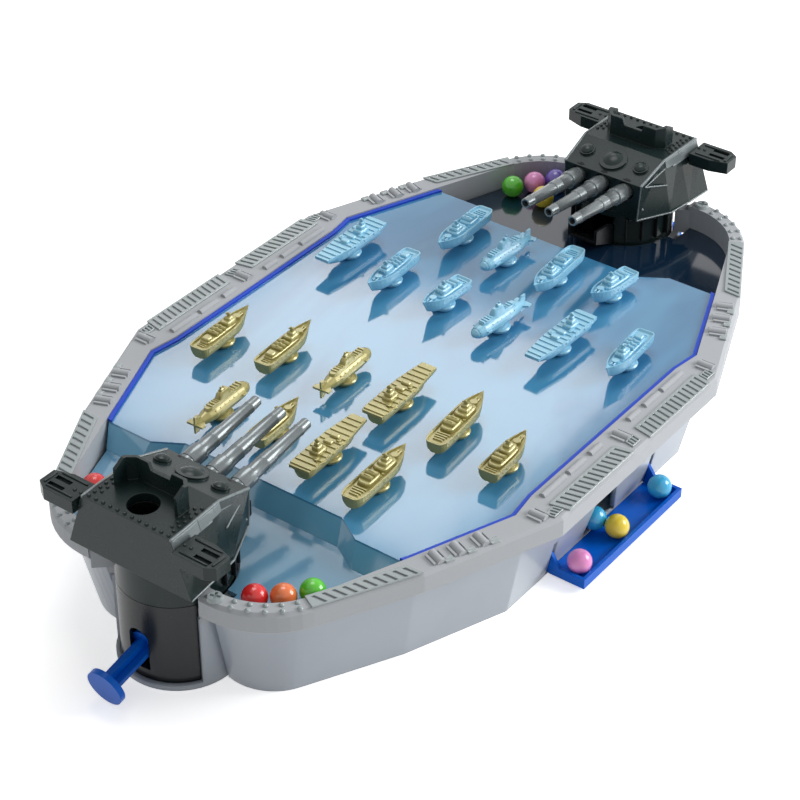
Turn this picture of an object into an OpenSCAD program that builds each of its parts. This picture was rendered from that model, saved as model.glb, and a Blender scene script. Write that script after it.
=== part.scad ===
// Two-player table game with a long hull, two turning turrets and twenty lift-out ships.
// The X axis runs from turret to turret, Y across, Z up; the hull stands on Z = 0.

/* [Hull] */
// Height of the rim above the table
rim_top = 60; // [56:0.5:66]
// Half width of the hull over the rim
hull_half_w = 126.5; // [124:0.5:132]
// Half length of the straight middle of the rim
mid_half_l = 67; // [60:1:72]
// Distance of the shoulder corner from the middle
shoulder_x = 135; // [132:0.5:140]
// Distance of the shoulder corner from the long axis
shoulder_y = 100; // [98:0.5:103]
// Distance of the end lobes' centres from the middle
lobe_x = 160; // [158:0.5:162]
// Distance of the end lobes' centres from the long axis
lobe_y = 36; // [35:0.5:38]
// Outer radius of an end lobe
lobe_r = 45; // [43:0.5:47]
// How far the foot of the wall stands inside the rim
wall_draft = 18; // [17:0.5:20]
// How far the top of the wall stands inside the rim
wall_inset = 8.5; // [8.3:0.1:9]
// Depth of the foot of the straight wall under the overhanging rim
mid_foot_in = 22.8; // [22:0.2:24]
// Depth of the top of the straight wall under the overhanging rim
mid_top_in = 13.5; // [13:0.5:14.5]
// Thickness of the hull's walls
wall_t = 2.4; // [2:0.1:3]
// Height of the rim moulding's outer band
band_h = 11; // [8:0.5:13]
// Thickness of the rim's top
rim_t = 2.2; // [1.8:0.1:3]
// Width of the rim's top along the slanting sides
rim_side_w = 13; // [11:0.5:14]
// Width of the rim's top along the straight middle
rim_mid_w = 20.5; // [18:0.5:22]
// Width of the rim's top round the lobes
rim_lobe_w = 8; // [7:0.5:10]
// Thickness of the bottom plate
floor_t = 2.4; // [2:0.1:3]

/* [Playfield] */
// Depth of the deck below the rim
deck_drop = 2; // [1.5:0.1:3]
// Depth of the ball gutter below the deck
gutter_drop = 11; // [9:0.5:12]
// Thickness of the clear playfield
field_t = 2.4; // [2:0.1:3]
// Distance of the deck's end from the middle
deck_end_x = 132; // [130:0.5:133]
// How far the deck's end is cut back between its corners
deck_notch = 8.5; // [6:0.5:10]
// Half width of the cut-back middle of the deck's end
deck_notch_half = 46; // [42:1:48]
// Lean of the step between the deck and the gutter
step_lean = 7; // [5:0.5:8]
// Width of the deck's raised blue lip
lip_w = 2; // [1.6:0.1:2.6]
// Height of the deck's raised blue lip
lip_h = 1.3; // [0.8:0.1:1.5]

/* [Turret] */
// Distance of the turret's axis from the middle
turret_x = 184; // [183:0.5:186]
// Radius of the turning column
column_r = 26.7; // [26:0.1:27]
// Running clearance round the column
column_gap = 0.6; // [0.4:0.1:0.8]
// Thickness of the socket wall round the column
socket_t = 1.8; // [1.6:0.1:2.2]
// Half angle of the socket's opening at the hull's end
socket_open = 61; // [56:1:64]
// Height of the seam between column and turret
seam_z = 46; // [44:0.5:48]
// Gap between the rim and the turret's lower edge
turret_gap = 3.5; // [3:0.25:5]
// Height of the turret's roof above its lower edge
roof_h = 29; // [27:0.5:31]
// Wall thickness of the turret and the column
shell_t = 2; // [1.8:0.1:2.4]
// Half width of the turret's roof at the front
roof_front_half = 23.5; // [23:0.25:24.5]
// Half width of the turret's roof at the rear
roof_rear_half = 25; // [24.5:0.25:27]
// Half width of the turret's lower edge at the rear
skirt_rear_half = 35; // [33:0.5:36]
// Distance of the turret's front from its axis
turret_front = 25; // [24:0.5:27]
// Distance of the turret's rear from its axis
turret_rear = 28; // [28:0.5:30]
// Bore of the ball inlet in the roof
inlet_d = 14.6; // [14:0.2:15.6]
// Distance of the ball inlet behind the turret's axis
inlet_back = 16.5; // [15:0.25:17]
// Height of the shield round the ball inlet
shield_h = 13; // [11:0.5:14]
// Half width of the shield
shield_half_w = 18; // [17:0.5:18.5]

/* [Guns] */
// Reach of the barrels' tips from the turret's axis
gun_reach = 76; // [70:1:80]
// Distance between neighbouring barrels
gun_pitch = 14.4; // [14:0.1:15]
// Elevation of the barrels
gun_tilt = 7; // [4:0.5:9]
// Radius of a barrel's breech collar
breech_r = 4.7; // [4.4:0.1:4.9]
// Radius of a barrel's middle sleeve
sleeve_r = 4; // [3.6:0.1:4.2]
// Radius of a barrel's muzzle
muzzle_r = 2.7; // [2.4:0.1:3]
// Reach of the side grips from the turret's axis
grip_reach = 50; // [46:0.5:52]

/* [Plunger] */
// Upward slope of the plunger
plunger_tilt = 12; // [10:0.5:13]
// Height of the plunger's line at the turret's axis
plunger_z = 22; // [21:0.25:23]
// Diameter of the plunger's push disc
knob_d = 19; // [17:0.5:20]
// Thickness of the plunger's push disc
knob_t = 3; // [2.5:0.25:4]
// Distance of the push disc's face from the turret's axis
knob_reach = 51; // [49:0.5:52]
// Width of the plunger's cross-shaped shaft
shaft_w = 9.6; // [8:0.2:10]
// Thickness of the shaft's ribs
shaft_t = 2.4; // [2:0.1:3]
// Travel of the plunger
plunger_travel = 14; // [12:0.5:14.5]

/* [Balls and trays] */
// Diameter of a ball
ball_d = 12; // [11:0.25:12.5]
// Length of a ball tray
tray_l = 87; // [84:1:92]
// Depth of a ball tray
tray_w = 20; // [19:0.5:21]
// Height of a tray's front lip
tray_lip = 3.5; // [2.5:0.25:4]
// Thickness of a tray's floor
tray_t = 1.8; // [1.5:0.1:2.2]
// Width of the ball opening behind a tray
tray_mouth = 28; // [26:0.5:32]

/* [Ships] */
// Diameter of a ship's peg
peg_d = 6.6; // [6:0.1:7]
// Clearance of a peg in the deck
peg_gap = 0.5; // [0.3:0.05:0.8]
// Diameter of a ship's stand
stand_d = 11.8; // [11:0.2:13]
// Height of a ship's keel over the deck
ship_z = 3.4; // [2.8:0.1:4]
// Height of a ship's hull
ship_hull_h = 6.4; // [5.6:0.1:7]

/* [Hidden] */
$fn = 48;
eps = 0.01;
arc_steps = 10;
SHIP_KINDS = ["destroyer", "destroyer", "submarine", "carrier", "battleship",
              "patrol_boat", "submarine", "patrol_boat", "carrier", "battleship"];
BLUE_KINDS = ["carrier", "destroyer", "patrol_boat", "submarine", "carrier",
              "destroyer", "battleship", "submarine", "battleship", "patrol_boat"];
// Places of the ten ships of one fleet, as distance from the middle and from the long axis
SHIP_PLACES = [[51, 84.5], [42.5, 51.5], [40.5, 16.8], [40.5, -16.8], [42.5, -51.5],
               [51, -84.5], [97.5, 46], [93.5, 15.6], [93.5, -15.6], [97.5, -46]];
// How far each ship of the two fleets is turned on its peg
GOLD_TURNS = [3, 3.5, 3, 2.4, 5, 3.4, 2.5, 3, 3, 3];
BLUE_TURNS = [0, 3, -2, -4, -1, 4, 2, -3, 4, -5];
GOLD_NODES = [for (i = [0:9]) str("gold_", SHIP_KINDS[i], "_", i + 1)];
BLUE_NODES = [for (i = [0:9]) str("blue_", BLUE_KINDS[i], "_", i + 1)];

// Heights that follow from the sizes above
deck_z = rim_top - deck_drop;
gutter_z = deck_z - gutter_drop;
band_z = rim_top - band_h;
// Top of the tub's wall, which carries the rim and the gutters
wall_z = gutter_z - field_t;
skirt_z = rim_top + turret_gap;
roof_z = skirt_z + roof_h;
ball_r = ball_d / 2;
socket_bore_r = column_r + column_gap;
socket_r = socket_bore_r + socket_t;
column_z = floor_t + 0.3;
pivot_r = 6;
// The rim ends this far from the long axis, beside the turret
rim_end_y = lobe_y - 4;
side_sign = [-1, 1];

function unit(v) = v / norm(v);
function flip_x(p) = [-p[0], p[1]];
function flip_y(p) = [p[0], -p[1]];
function reversed(list) = [for (i = [len(list) - 1:-1:0]) list[i]];
// A closed loop from its points in the first quadrant, the ones on the long side first
function four_ways(q) = concat(q, reversed([for (p = q) flip_y(p)]), [for (p = q) -p],
    reversed([for (p = q) flip_x(p)]));

// Outward normals of the two slanting sides between the straight middle and a lobe
side_n1 = let (d = unit([shoulder_x - mid_half_l, shoulder_y - hull_half_w])) [-d[1], d[0]];
shoulder_far = norm([shoulder_x - lobe_x, shoulder_y - lobe_y]);
tangent_a = atan2(shoulder_y - lobe_y, shoulder_x - lobe_x) - acos(lobe_r / shoulder_far);
side_n2 = [cos(tangent_a), sin(tangent_a)];

function shoulder_in(d) = [shoulder_x, shoulder_y] - d * (side_n1 + side_n2) / (1 + side_n1 * side_n2);
// The point at height y on the first slanting side, moved inwards by d
function side_at_y(d, y) = [(side_n1 * [shoulder_x, shoulder_y] - d - side_n1[1] * y) / side_n1[0], y];
function side_at_x(d, x) = [x, (side_n1 * [shoulder_x, shoulder_y] - d - side_n1[0] * x) / side_n1[1]];
function lobe_arc(r, a0, a1) = [for (i = [0:arc_steps])
    let (a = a0 + (a1 - a0) * i / arc_steps) [lobe_x + r * cos(a), lobe_y + r * sin(a)]];
function lobe_end_a(r, y) = asin((y - lobe_y) / r);

// Outer outline of the hull, moved inwards by d, with the middle at y_mid and its valley beside the socket
function hull_quarter(d, y_mid, end_y, valley) = concat(
    [side_at_y(d, y_mid), shoulder_in(d)],
    lobe_arc(lobe_r - d, tangent_a, lobe_end_a(lobe_r - d, end_y)),
    [valley]);
// A corner of the outline beside the socket, moved inwards by d
function valley_in(p, d) = p + d * [-1, 0.41];
valley_top = [turret_x + socket_r * cos(socket_open), socket_r * sin(socket_open)];
valley_seam = [turret_x + (socket_r + 0.2) * cos(79), (socket_r + 0.2) * sin(79)];
valley_foot = [turret_x - 2.5, socket_r - 0.4];
function rim_loop(d) = four_ways(hull_quarter(d, hull_half_w - d, rim_end_y, valley_in(valley_top, d)));
function seam_loop(d) = four_ways(hull_quarter(wall_inset + d, hull_half_w - mid_top_in - d, rim_end_y,
    valley_in(valley_seam, d)));
function foot_loop(d) = four_ways(hull_quarter(wall_draft + d, hull_half_w - mid_foot_in - d, rim_end_y - 2,
    valley_in(valley_foot, d)));

// Inner outline of the rim, moved inwards by d
inner_shoulder = shoulder_in(rim_side_w);
inner_lobe_r = lobe_r - rim_lobe_w;
inner_far = norm(inner_shoulder - [lobe_x, lobe_y]);
inner_tangent_a = atan2(inner_shoulder[1] - lobe_y, inner_shoulder[0] - lobe_x) - acos(inner_lobe_r / inner_far);
function inner_quarter(d) = concat(
    [[mid_half_l - 5, hull_half_w - rim_mid_w - d], side_at_x(rim_side_w + d, mid_half_l + 11),
        shoulder_in(rim_side_w + d)],
    lobe_arc(inner_lobe_r - d, inner_tangent_a, lobe_end_a(inner_lobe_r - d, rim_end_y + 1)));
function inner_loop(d) = four_ways(inner_quarter(d));

// A closed skin between loops of equal length, as a solid with flat ends.
// Each loop runs clockwise, seen from the last loop's end.
module loft(rings) {
    n = len(rings[0]);
    points = [for (r = rings) each r];
    sides = [for (k = [0:len(rings) - 2]) for (i = [0:n - 1])
        [k * n + i, k * n + (i + 1) % n, (k + 1) * n + (i + 1) % n, (k + 1) * n + i]];
    foot = [for (i = [n - 1:-1:0]) i];
    head = [for (i = [0:n - 1]) (len(rings) - 1) * n + i];
    polyhedron(points, concat([foot], sides, [head]), convexity = 8);
}
function at_z(loop, z) = [for (p = loop) [p[0], p[1], z]];
module loft_loops(loops, heights) {
    loft([for (k = [0:len(loops) - 1]) at_z(loops[k], heights[k])]);
}

// A closed band: each loop is one corner of its cross-section, and the loops close on each other
module band(loops, heights) {
    n = len(loops[0]);
    m = len(loops);
    points = [for (k = [0:m - 1]) each at_z(loops[k], heights[k])];
    faces = [for (k = [0:m - 1]) for (i = [0:n - 1])
        [k * n + i, k * n + (i + 1) % n, (k + 1) % m * n + (i + 1) % n, (k + 1) % m * n + i]];
    polyhedron(points, faces, convexity = 8);
}

module at_turret(side) {
    translate([side * turret_x, 0, 0])
        rotate([0, 0, side < 0 ? 0 : 180])
            children();
}

// ---------------------------------------------------------------- rim
module rim_band() {
    edge = 1.6;
    band([rim_loop(0.8), rim_loop(0), rim_loop(0), rim_loop(edge), rim_loop(edge + wall_t),
        rim_loop(edge + wall_t)], [band_z, band_z + 1, rim_top - edge, rim_top, rim_top, band_z]);
}

module rim_plate() {
    translate([0, 0, rim_top - rim_t])
        linear_extrude(rim_t)
            difference() {
                polygon(rim_loop(1.6 + wall_t - 0.5));
                polygon(inner_loop(0));
            }
}

module inner_skirt() {
    skirt_t = 2;
    translate([0, 0, wall_z])
        linear_extrude(rim_top - wall_z)
            difference() {
                polygon(inner_loop(-skirt_t));
                polygon(inner_loop(0));
            }
    // seat flange on the tub's wall
    translate([0, 0, wall_z])
        linear_extrude(1.8)
            difference() {
                polygon(seam_loop(0));
                polygon(inner_loop(0));
            }
}

collar_h = 5;
collar_t = 3.4;
collar_z = wall_z - collar_h;
module end_collar() {
    translate([0, 0, collar_z])
        difference() {
            cylinder(h = collar_h, r = socket_bore_r + collar_t);
            translate([0, 0, -1])
                cylinder(h = collar_h + 2, r = socket_bore_r);
            translate([0, 0, -1])
                linear_extrude(collar_h + 2)
                    polygon(opening_wedge(collar_open));
        }
}
collar_open = socket_open + 1;
// The sector between plus and minus a degrees about the way to the hull's end
function opening_wedge(a) = [[0, 0], 60 * [-cos(a), sin(a)], [-90, 0], 60 * [-cos(a), -sin(a)]];

// The web that closes a lobe's end beside the column, and ties it to the collar
module end_web(side_y) {
    foot_a = 66;
    r = socket_bore_r + 0.6;
    web = [
        [lobe_x + (lobe_r - 1) * cos(lobe_end_a(lobe_r, rim_end_y)), rim_end_y],
        [turret_x + r * cos(foot_a - 4), r * sin(foot_a - 4)],
        [turret_x + r * cos(foot_a + 6), r * sin(foot_a + 6)],
        [lobe_x + inner_lobe_r * cos(lobe_end_a(inner_lobe_r, rim_end_y + 1)), rim_end_y + 1.5]
    ];
    translate([0, 0, wall_z - 1])
        linear_extrude(rim_top - rim_t - wall_z + 1)
            polygon([for (p = web) [p[0], side_y * p[1]]]);
}

// A clip on the rim: a half-round loop over two small ridges
module rim_clip(x, y, turn, w) {
    clip_r = 2.1;
    translate([x, y, rim_top])
        rotate([0, 0, turn]) {
            intersection() {
                rotate([90, 0, 0])
                    cylinder(h = w, r = clip_r, center = true, $fn = 24);
                translate([-5, -w, 0])
                    cube([10, 2 * w, 5]);
            }
            for (dx = [-3.4, 3.2])
                translate([dx - 0.6, -w / 2 + 0.6, -0.2])
                    cube([1.2, w - 1.2, 1.2]);
        }
}

// Raised bar with a rounded back, along the inner half of the straight rim
module rim_bar(x0, x1, y) {
    bar_r = 1.7;
    intersection() {
        translate([x0, y, rim_top])
            rotate([0, 90, 0])
                cylinder(h = x1 - x0, r = bar_r, $fn = 24);
        translate([x0 - 1, y - 3, rim_top - 0.3])
            cube([x1 - x0 + 2, 6, 3]);
    }
}

side_turn = atan2(side_n1[1], side_n1[0]) - 90;
module rim_trim(sx, sy) {
    mirror([sx < 0 ? 1 : 0, 0, 0])
        mirror([0, sy < 0 ? 1 : 0, 0]) {
            for (x = [101.5, 112.9, 123.1]) {
                p = side_at_x(rim_side_w / 2, x);
                rim_clip(p[0], p[1], side_turn, rim_side_w - 4.5);
            }
            q = side_at_x(rim_side_w / 2, 73.5);
            rim_clip(q[0] - 1, q[1] - 0.5, 0, rim_side_w - 4.5);
            bar_y = hull_half_w - rim_mid_w + 4.2;
            rim_bar(12, 21, bar_y);
            rim_bar(26, 39, bar_y);
            rim_bar(41.5, 60, bar_y);
        }
}

module rim_frame() {
    color([0.66, 0.67, 0.68])
        union() {
            difference() {
                union() {
                    rim_band();
                    rim_plate();
                    inner_skirt();
                }
                for (s = side_sign)
                    translate([s * (turret_x + 20) - 15, -rim_end_y, collar_z - 1])
                        cube([30, 2 * rim_end_y, rim_top]);
            }
            for (s = side_sign)
                at_turret(s)
                    end_collar();
            for (s = side_sign)
                mirror([s < 0 ? 1 : 0, 0, 0])
                    for (sy = side_sign)
                        end_web(sy);
            for (sx = side_sign)
                for (sy = side_sign)
                    rim_trim(sx, sy);
            for (sy = side_sign)
                rim_clip(0, sy * (hull_half_w - rim_mid_w / 2 - 2), 0, rim_side_w - 4.5);
        }
}

roundel_r = 4.6;
roundel_at = [lobe_x + (lobe_r - rim_lobe_w / 2) * cos(3), lobe_y + (lobe_r - rim_lobe_w / 2) * sin(3)];
module rim_screws() {
    slot = 1.3;
    color([0.74, 0.75, 0.76])
        for (sx = side_sign)
            for (sy = side_sign)
                translate([sx * roundel_at[0], sy * roundel_at[1], rim_top])
                    difference() {
                        cylinder(h = 1.6, r1 = roundel_r - 0.7, r2 = roundel_r - 1.3, $fn = 32);
                        for (a = [0, 90])
                            rotate([0, 0, a + 20])
                                translate([-2.4, -slot / 2, 0.7])
                                    cube([4.8, slot, 2]);
                    }
}

// ---------------------------------------------------------------- tub
// Outer face of the straight wall at height z
mid_lean = (mid_foot_in - mid_top_in) / wall_z;
function mid_wall_y(z) = hull_half_w - mid_foot_in + mid_lean * z;
tray_hinge_z = 5.6;
// The hinge line lies inside the wall's face by this much
hinge_in = 1.6;
tray_hinge_y = mid_wall_y(tray_hinge_z) - hinge_in;
tray_pin_r = 1.1;
lug_l = 4.6;

module socket_walls() {
    for (s = side_sign)
        at_turret(s)
            cylinder(h = collar_z, r = socket_r);
}

module socket_bores() {
    for (s = side_sign)
        at_turret(s) {
            translate([0, 0, floor_t])
                cylinder(h = rim_top, r = socket_bore_r);
            // the opening towards the hull's end
            translate([0, 0, column_z + 0.2])
                linear_extrude(rim_top)
                    polygon(opening_wedge(socket_open));
            // the way from the column into the hull
            translate([0, -22, floor_t])
                cube([40, 44, rim_top]);
        }
}

// Openings in the wall behind a tray: the ball mouth and a slot for each tray cheek
module tray_openings() {
    for (sy = side_sign)
        mirror([0, sy < 0 ? 1 : 0, 0]) {
            translate([0, tray_hinge_y + 12, tray_hinge_z + tray_floor + 0.2])
                rotate([90, 0, 0])
                    linear_extrude(20)
                        polygon([[-tray_mouth / 2, 0], [tray_mouth / 2, 0],
                            [tray_mouth / 2 - 5, 18], [5 - tray_mouth / 2, 18]]);
            for (sx = side_sign)
                translate([sx * cheek_x - cheek_t / 2 - 0.6, tray_hinge_y - 6, 1])
                    cube([cheek_t + 1.2, 16, 20]);
        }
}

// Lugs inside the wall that hold a tray's two pins
module tray_lugs() {
    for (sy = side_sign)
        mirror([0, sy < 0 ? 1 : 0, 0])
            for (sx = side_sign)
                translate([sx * (cheek_x + cheek_t / 2 + 0.6 + lug_l / 2) - lug_l / 2, tray_hinge_y - 3.4,
                    floor_t + 0.3])
                    cube([lug_l, 4, tray_hinge_z + 3.2 - floor_t - 0.3]);
}
module pin_bores() {
    for (sx = side_sign)
        for (sy = side_sign)
            translate([sx * (cheek_x + lug_l / 2 + 0.2), sy * tray_hinge_y, tray_hinge_z])
                rotate([0, 90, 0])
                    cylinder(h = lug_l + 5, r = tray_pin_r + 0.05, center = true, $fn = 24);
}

// The top of the tub makes room for the rim's collar and webs
module collar_room() {
    for (s = side_sign)
        at_turret(s) {
            translate([0, 0, collar_z])
                cylinder(h = 20, r = socket_bore_r + collar_t + 0.2);
            translate([-40, -rim_end_y - 4, wall_z - 1.4])
                cube([48, 2 * rim_end_y + 8, 5]);
        }
}

module pivot_bosses() {
    for (s = side_sign)
        at_turret(s)
            cylinder(h = column_z + shell_t + 0.4, r = pivot_r);
}

module lower_tub() {
    color([0.69, 0.7, 0.71])
        union() {
            difference() {
                union() {
                    band([foot_loop(0), seam_loop(0), seam_loop(wall_t), foot_loop(wall_t)],
                        [0, wall_z, wall_z, 0]);
                    socket_walls();
                    tray_lugs();
                }
                socket_bores();
                collar_room();
                tray_openings();
                pin_bores();
            }
            pivot_bosses();
        }
}

// Washer and screw on each pivot boss, which keep the column down
module pivot_retainers() {
    color([0.7, 0.7, 0.72])
        for (s = side_sign)
            at_turret(s)
                translate([0, 0, column_z + shell_t + 0.4])
                    union() {
                        cylinder(h = 1.2, r = pivot_r + 3);
                        cylinder(h = 3, r = 3);
                    }
}

// ---------------------------------------------------------------- bottom plate and posts
module bottom_plate() {
    color([0.8, 0.82, 0.83])
        difference() {
            linear_extrude(floor_t)
                polygon(foot_loop(wall_t + 0.3));
            for (s = side_sign)
                at_turret(s)
                    translate([0, 0, -1])
                        cylinder(h = floor_t + 2, r = socket_r + 0.2);
            for (p = screw_places())
                translate([p[0], p[1], -1]) {
                    cylinder(h = floor_t + 2, r = 1.7, $fn = 24);
                    // sunk seat of the screw's head
                    cylinder(h = 2.25, r = 3.3, $fn = 32);
                }
        }
}
function screw_places() = [for (sx = side_sign) for (sy = side_sign) for (p = [[66, 68], [114, 30]])
    [sx * p[0], sy * p[1]]];

module base_screws() {
    color([0.55, 0.55, 0.56])
        for (p = screw_places())
            translate([p[0], p[1], 0.2])
                difference() {
                    union() {
                        cylinder(h = 1, r = 3, $fn = 32);
                        cylinder(h = 9, r = 1.5, $fn = 24);
                    }
                    for (a = [0, 90])
                        rotate([0, 0, a])
                            translate([-1.8, -0.4, -0.2])
                                cube([3.6, 0.8, 0.8]);
                }
}

function post_places() = [for (sx = side_sign) for (sy = side_sign) [sx * 22, sy * 34]];

module deck_posts() {
    post_r = 4;
    color([0.78, 0.8, 0.82])
        for (p = concat(screw_places(), post_places()))
            translate([p[0], p[1], floor_t])
                difference() {
                    cylinder(h = deck_z - field_t - floor_t, r = post_r, $fn = 32);
                    translate([0, 0, -1])
                        cylinder(h = 12, r = 1.7, $fn = 24);
                }
}

// ---------------------------------------------------------------- playfield
field_gap = 0.25;
notch_x = deck_end_x - deck_notch;
function deck_edge() = [[deck_end_x, 60], [notch_x, deck_notch_half]];
// Corner where the deck's end meets the slanting side
function deck_corner(d) = let (n = side_n2, c = n * inner_shoulder - d) [deck_end_x, (c - n[0] * deck_end_x) / n[1]];
function deck_quarter() = concat(
    [[mid_half_l - 5, hull_half_w - rim_mid_w - field_gap],
        side_at_x(rim_side_w + field_gap, mid_half_l + 11), shoulder_in(rim_side_w + field_gap),
        deck_corner(field_gap)],
    deck_edge());
function deck_lip_quarter() = concat(
    [[mid_half_l - 5, hull_half_w - rim_mid_w - field_gap - lip_w],
        side_at_x(rim_side_w + field_gap + lip_w, mid_half_l + 11),
        shoulder_in(rim_side_w + field_gap + lip_w)],
    [[deck_end_x + 5, deck_corner(field_gap + lip_w)[1] - 5 * side_n2[0] / side_n2[1]]]);

module deck_holes() {
    for (sx = side_sign)
        for (p = SHIP_PLACES)
            translate([sx * p[0], p[1], deck_z - field_t - 1])
                cylinder(h = field_t + 2, r = peg_d / 2 + peg_gap, $fn = 32);
}

// The sloping step from the deck's end down to the gutter, as a strip of even thickness
module field_step() {
    half = concat([[deck_end_x, deck_corner(field_gap)[1] - 0.4]], deck_edge());
    path = concat(half, reversed([for (p = half) flip_y(p)]));
    lean_y = [2, 3, 2.5, -2.5, -3, -2];
    // the strip's ends keep clear of the slanting side of the rim
    function end_y(p, x) = p[1] - sign(p[1]) * (x - deck_end_x) * side_n2[0] / side_n2[1];
    function foot_y(i, x) = abs(path[i][1]) > 61 ? end_y(path[i], x) : path[i][1] + lean_y[i];
    function head_y(i, x) = abs(path[i][1]) > 61 ? end_y(path[i], x) : path[i][1];
    rings = [for (i = [0:len(path) - 1]) let (x = path[i][0]) [
        [x - field_t, head_y(i, x - field_t), deck_z],
        [x, head_y(i, x), deck_z],
        [x + step_lean, foot_y(i, x + step_lean), gutter_z],
        [x + step_lean, foot_y(i, x + step_lean), gutter_z - field_t],
        [x + step_lean - field_t, foot_y(i, x + step_lean - field_t), gutter_z - field_t],
        [x - field_t, head_y(i, x - field_t), deck_z - field_t]
    ]];
    loft(rings);
}

// Outline of the gutter's floor beyond the step
module gutter_floor() {
    q = inner_quarter(field_gap);
    y_side = deck_corner(field_gap)[1];
    near = concat([[deck_end_x + step_lean - 1, y_side - 4]],
        [[deck_end_x + step_lean - 1, 62], [notch_x + step_lean - 1, deck_notch_half + 2]]);
    outer = [for (p = q) if (p[0] > deck_end_x + step_lean) p];
    translate([0, 0, gutter_z - field_t])
        linear_extrude(field_t)
            difference() {
                polygon(concat(reversed(near), outer, reversed([for (p = outer) flip_y(p)]),
                    [for (p = near) flip_y(p)]));
                translate([turret_x, 0])
                    circle(r = socket_bore_r + 1.2);
                // room for the rim's webs
                translate([turret_x - 2, -rim_end_y - 2])
                    square([60, 2 * rim_end_y + 4]);
            }
}

module playfield() {
    color([0.55, 0.75, 0.88, 0.6])
        union() {
            difference() {
                union() {
                    translate([0, 0, deck_z - field_t])
                        linear_extrude(field_t)
                            polygon(four_ways(deck_quarter()));
                    translate([0, 0, deck_z - eps])
                        linear_extrude(lip_h)
                            difference() {
                                polygon(four_ways(deck_quarter()));
                                polygon(four_ways(deck_lip_quarter()));
                            }
                }
                deck_holes();
            }
            for (s = side_sign)
                mirror([s < 0 ? 1 : 0, 0, 0]) {
                    field_step();
                    gutter_floor();
                }
        }
}

// ---------------------------------------------------------------- balls
LEFT_BALLS = [[-184, -45.5], [-176.2, -55.2], [-166, -63.2], [-167.8, 62.6]];
RIGHT_BALLS = [[167.4, 61.8], [178.2, 54.6], [187.6, 46.8], [168.2, 42.2]];
TRAY_BALLS = [[-35.5, 13.8], [-3, 13.8], [35.4, 13.8], [-5.6, 3.5]];

module gutter_balls(places) {
    for (p = places)
        translate([p[0], p[1], gutter_z + ball_r])
            sphere(r = ball_r);
}

module tray_balls() {
    color("gold")
        for (p = TRAY_BALLS)
            translate([p[0], -tray_hinge_y - p[1], tray_hinge_z + tray_floor + ball_r])
                sphere(r = ball_r);
}

// ---------------------------------------------------------------- ball trays
cheek_t = 1.8;
cheek_h = 10;
cheek_x = tray_l / 2 - cheek_t / 2;
// Height of the floor's top over the hinge line, which lets the shut tray stand against the wall
tray_floor = -hinge_in - 0.4;
tray_near = 1.7;
module tray_body() {
    // local frame: hinge line on X, the floor reaches along +Y
    far = tray_near + tray_w;
    difference() {
        union() {
            translate([-tray_l / 2, tray_near, tray_floor - tray_t])
                cube([tray_l, tray_w, tray_t]);
            translate([-tray_l / 2, far - tray_t, tray_floor - tray_t])
                cube([tray_l, tray_t, tray_t + tray_lip]);
            for (sx = side_sign)
                translate([sx * cheek_x - cheek_t / 2, 0, 0])
                    rotate([90, 0, 90])
                        linear_extrude(cheek_t)
                            polygon([[-2.4, -1.6], [-2.4, 2], [0, cheek_h - 0.6], [tray_near, cheek_h],
                                [tray_near + 6, tray_floor + tray_lip], [far, tray_floor + tray_lip],
                                [far, tray_floor - tray_t], [tray_near, tray_floor - tray_t], [0.6, -2.4]]);
        }
        rotate([0, 90, 0])
            cylinder(h = tray_l + 2, r = tray_pin_r + 0.2, center = true, $fn = 24);
    }
}

module at_tray(side) {
    translate([0, side * tray_hinge_y, tray_hinge_z])
        mirror([0, side < 0 ? 1 : 0, 0])
            children();
}

// The two pins of a tray, each through a cheek and its lug
module tray_pins(side) {
    pin_l = cheek_t + 1.4 + lug_l;
    color([0.6, 0.6, 0.62])
        at_tray(side)
            for (sx = side_sign)
                translate([sx * (cheek_x - cheek_t / 2 - 0.8 + pin_l / 2), 0, 0])
                    rotate([0, 90, 0])
                        cylinder(h = pin_l, r = tray_pin_r, center = true, $fn = 24);
}

// ---------------------------------------------------------------- turret
gun_z = roof_z - 11;
gun_u = turret_front + 3;
inlet_r = inlet_d / 2;

// Cross-section rings of the turret from front to rear, moved inwards by d
function turret_rings(d, open) = [
    ring_at(turret_front - d, roof_front_half - d, roof_z - 6 - d, roof_front_half - 1.5 - d, skirt_z + 1.5, open),
    ring_at(4, roof_front_half + 1 - d, roof_z + 0.8 - d, roof_front_half + 7 - d, skirt_z, open),
    ring_at(-11, roof_rear_half - 0.3 - d, roof_z + 0.4 - d, skirt_rear_half - 1.5 - d, skirt_z, open),
    ring_at(d - turret_rear, roof_rear_half - d, roof_z - d, skirt_rear_half - d, skirt_z, open)
];
function ring_at(u, top_half, top_z, foot_half, foot_z, open) = [
    [u, foot_half, foot_z - open],
    [u, top_half, top_z],
    [u, -top_half, top_z],
    [u, -foot_half, foot_z - open]
];

module turret_skirt() {
    translate([0, 0, seam_z + 0.3])
        cylinder(h = skirt_z - seam_z + 3, r = column_r);
}

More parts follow.
